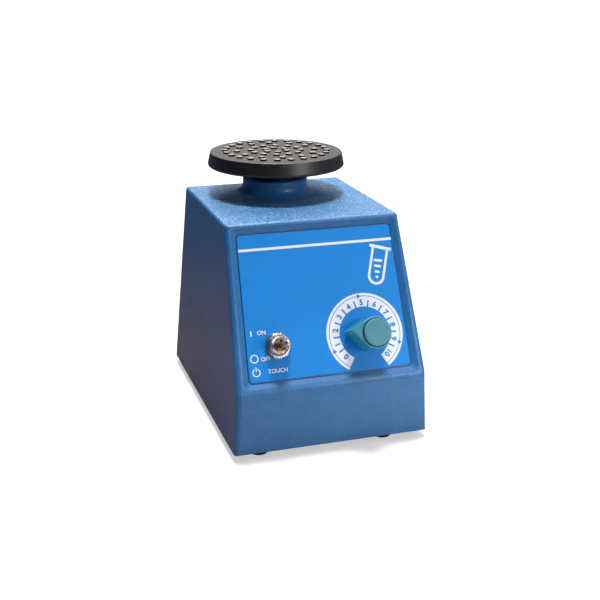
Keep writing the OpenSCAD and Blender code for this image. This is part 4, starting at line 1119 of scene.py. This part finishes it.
def make_fuse():
    """Fuse holder: a body through the wall and a cap with a slot for a coin or a driver."""
    place = back_place(FUSE_AT)
    profile = rounded([(0, -26), (6, -26), (6, 0), (8, 0), (8, 2), (5.6, 2), (5.3, 4.0), (0, 4.0)],
                      [0, 0.8, 0, 0.3, 0.7, 0.3, 0.6, 0], 5, False)
    fuse = drawn("fuse_cap", place, turned, profile, 72)
    cut(fuse, place, plate, box_outline(7.2, 1.3), 2.9, 5)
    kept(fuse, "root", "inlet_black", "fuse_holder", angle=35)


# ---- springs under the motor ----

def make_springs():
    """The four springs, drawn from their solids."""
    solid = frame["nodes"]["return_springs"]
    mesh = solid.data.copy()
    mesh.transform(solid.matrix_world)
    springs = bpy.data.objects.new("pressed_springs", mesh)
    bpy.context.scene.collection.objects.link(springs)
    kept(springs, "root", "steel", "return_springs", angle=60)
    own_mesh(springs)


# ---- stage ----

def make_floor():
    """Floor that the camera sees nearly white. It gives light to the front of the mixer.

    What the paint mirrors of it is brown near the mixer, blue farther off, and pale in front of
    the mixer's right side.
    """
    bm = bmesh.new()
    bmesh.ops.create_grid(bm, x_segments=2, y_segments=2, size=9)
    floor = mesh_object("floor", bm, Matrix.Translation((0, 0, -0.0002)))
    material, tree, shader = new_material("floor", Roughness=0.9, Specular_IOR_Level=0.1)
    path = add_node(tree, "ShaderNodeLightPath").outputs
    seen = path["Is Camera Ray"]
    place = add_node(tree, "ShaderNodeTexCoord").outputs["Object"]
    away = add_node(tree, "ShaderNodeVectorMath", {0: place}, operation="LENGTH").outputs["Value"]
    mirrored = blended(tree, mapped(tree, away, 0.16, 0.50), (0.175, 0.110, 0.105), (0.04, 0.07, 0.13))
    parts = add_node(tree, "ShaderNodeSeparateXYZ", {0: place}).outputs
    ahead = times(tree, mapped(tree, parts[1], -0.07, -0.12), mapped(tree, away, 0.5, 0.35))
    right = times(tree, ahead, mapped(tree, parts[0], -0.10, 0.10, 0.1, 1.0))
    mirrored = blended(tree, right, mirrored, (0.62, 0.64, 0.66))
    shader.inputs["Emission Color"].default_value = (1, 1, 1, 1)
    bounce = times(tree, times(tree, ahead, path["Is Diffuse Ray"]), 0.88)
    joined(tree, shader, Base_Color=blended(tree, seen, mirrored, (0.52, 0.52, 0.53)),
           Emission_Strength=plus(tree, times(tree, seen, 0.50), bounce))
    floor.data.materials.append(material)


def make_world():
    """White for the camera. For the mixer, a bright panel behind and above, and little else."""
    world = bpy.data.worlds.new("surroundings")
    bpy.context.scene.world = world
    world.use_nodes = True
    tree = world.node_tree
    direction = add_node(tree, "ShaderNodeTexCoord").outputs["Generated"]
    parts = add_node(tree, "ShaderNodeSeparateXYZ", {0: direction}).outputs
    right = mapped(tree, parts[0], 0.0, 1.0, 0.0, 0.15)
    level = times(tree, mapped(tree, parts[2], 0.40, 0.56), mapped(tree, parts[2], 0.92, 0.80))
    wall = times(tree, mapped(tree, parts[1], 0.15, 0.45), level)
    wall = times(tree, wall, mapped(tree, parts[0], -0.5, 0.1))
    wall = times(tree, wall, mapped(tree, parts[0], 0.20, 0.30, 1.6, 1.0))
    glow = plus(tree, times(tree, wall, 3.0), plus(tree, right, 0.03))
    seen = add_node(tree, "ShaderNodeLightPath").outputs["Is Camera Ray"]
    strength = plus(tree, times(tree, glow, maths(tree, "SUBTRACT", 1.0, seen)), seen)
    shade = tree.nodes["Background"]
    shade.inputs["Color"].default_value = (0.97, 0.98, 1.0, 1)
    tree.links.new(strength, shade.inputs["Strength"])


def add_light(name, kind, energy, at, aim, **settings):
    data = bpy.data.lights.new(name, kind)
    data.energy = energy
    for key, value in settings.items():
        setattr(data, key, value)
    light = bpy.data.objects.new(name, data)
    light.location = at
    light.rotation_euler = (Vector(aim) - Vector(at)).to_track_quat("-Z", "Y").to_euler()
    bpy.context.scene.collection.objects.link(light)


def make_lights():
    centre = (0, 0, 0.08)
    add_light("overhead", "SUN", 4.0, (0.04, 0.12, 1.2), centre, angle=math.radians(15))
    add_light("key", "AREA", 2.8, (0.55, -0.76, 1.30), centre, shape="RECTANGLE", size=0.55,
              size_y=0.55, color=(1.0, 0.99, 0.97))
    add_light("low_glint", "AREA", 3.0, (0.52, -0.98, 0.44), centre, shape="RECTANGLE", size=0.36,
              size_y=0.26, color=(1.0, 0.99, 0.98), diffuse_factor=0.0)


def make_camera():
    """Stands in front and to the left, a little above the platform, looking down."""
    data = bpy.data.cameras.new("camera")
    data.lens, data.sensor_width = 63.404, 36
    camera = bpy.data.objects.new("camera", data)
    camera.location = (-0.198694, SHELL_LOW.y - 0.544371, 0.293041)
    camera.rotation_euler = [math.radians(a) for a in (71.20764, -0.25808, -17.91503)]
    bpy.context.scene.collection.objects.link(camera)
    bpy.context.scene.camera = camera


finish_kept_nodes()
make_housing()
make_label()
make_prints()
make_knob()
make_switch()
make_platform()
make_feet()
make_inlet()
make_fuse()
make_springs()
make_floor()
make_world()
make_lights()
make_camera()
bpy.context.scene.view_settings.view_transform = "Standard"
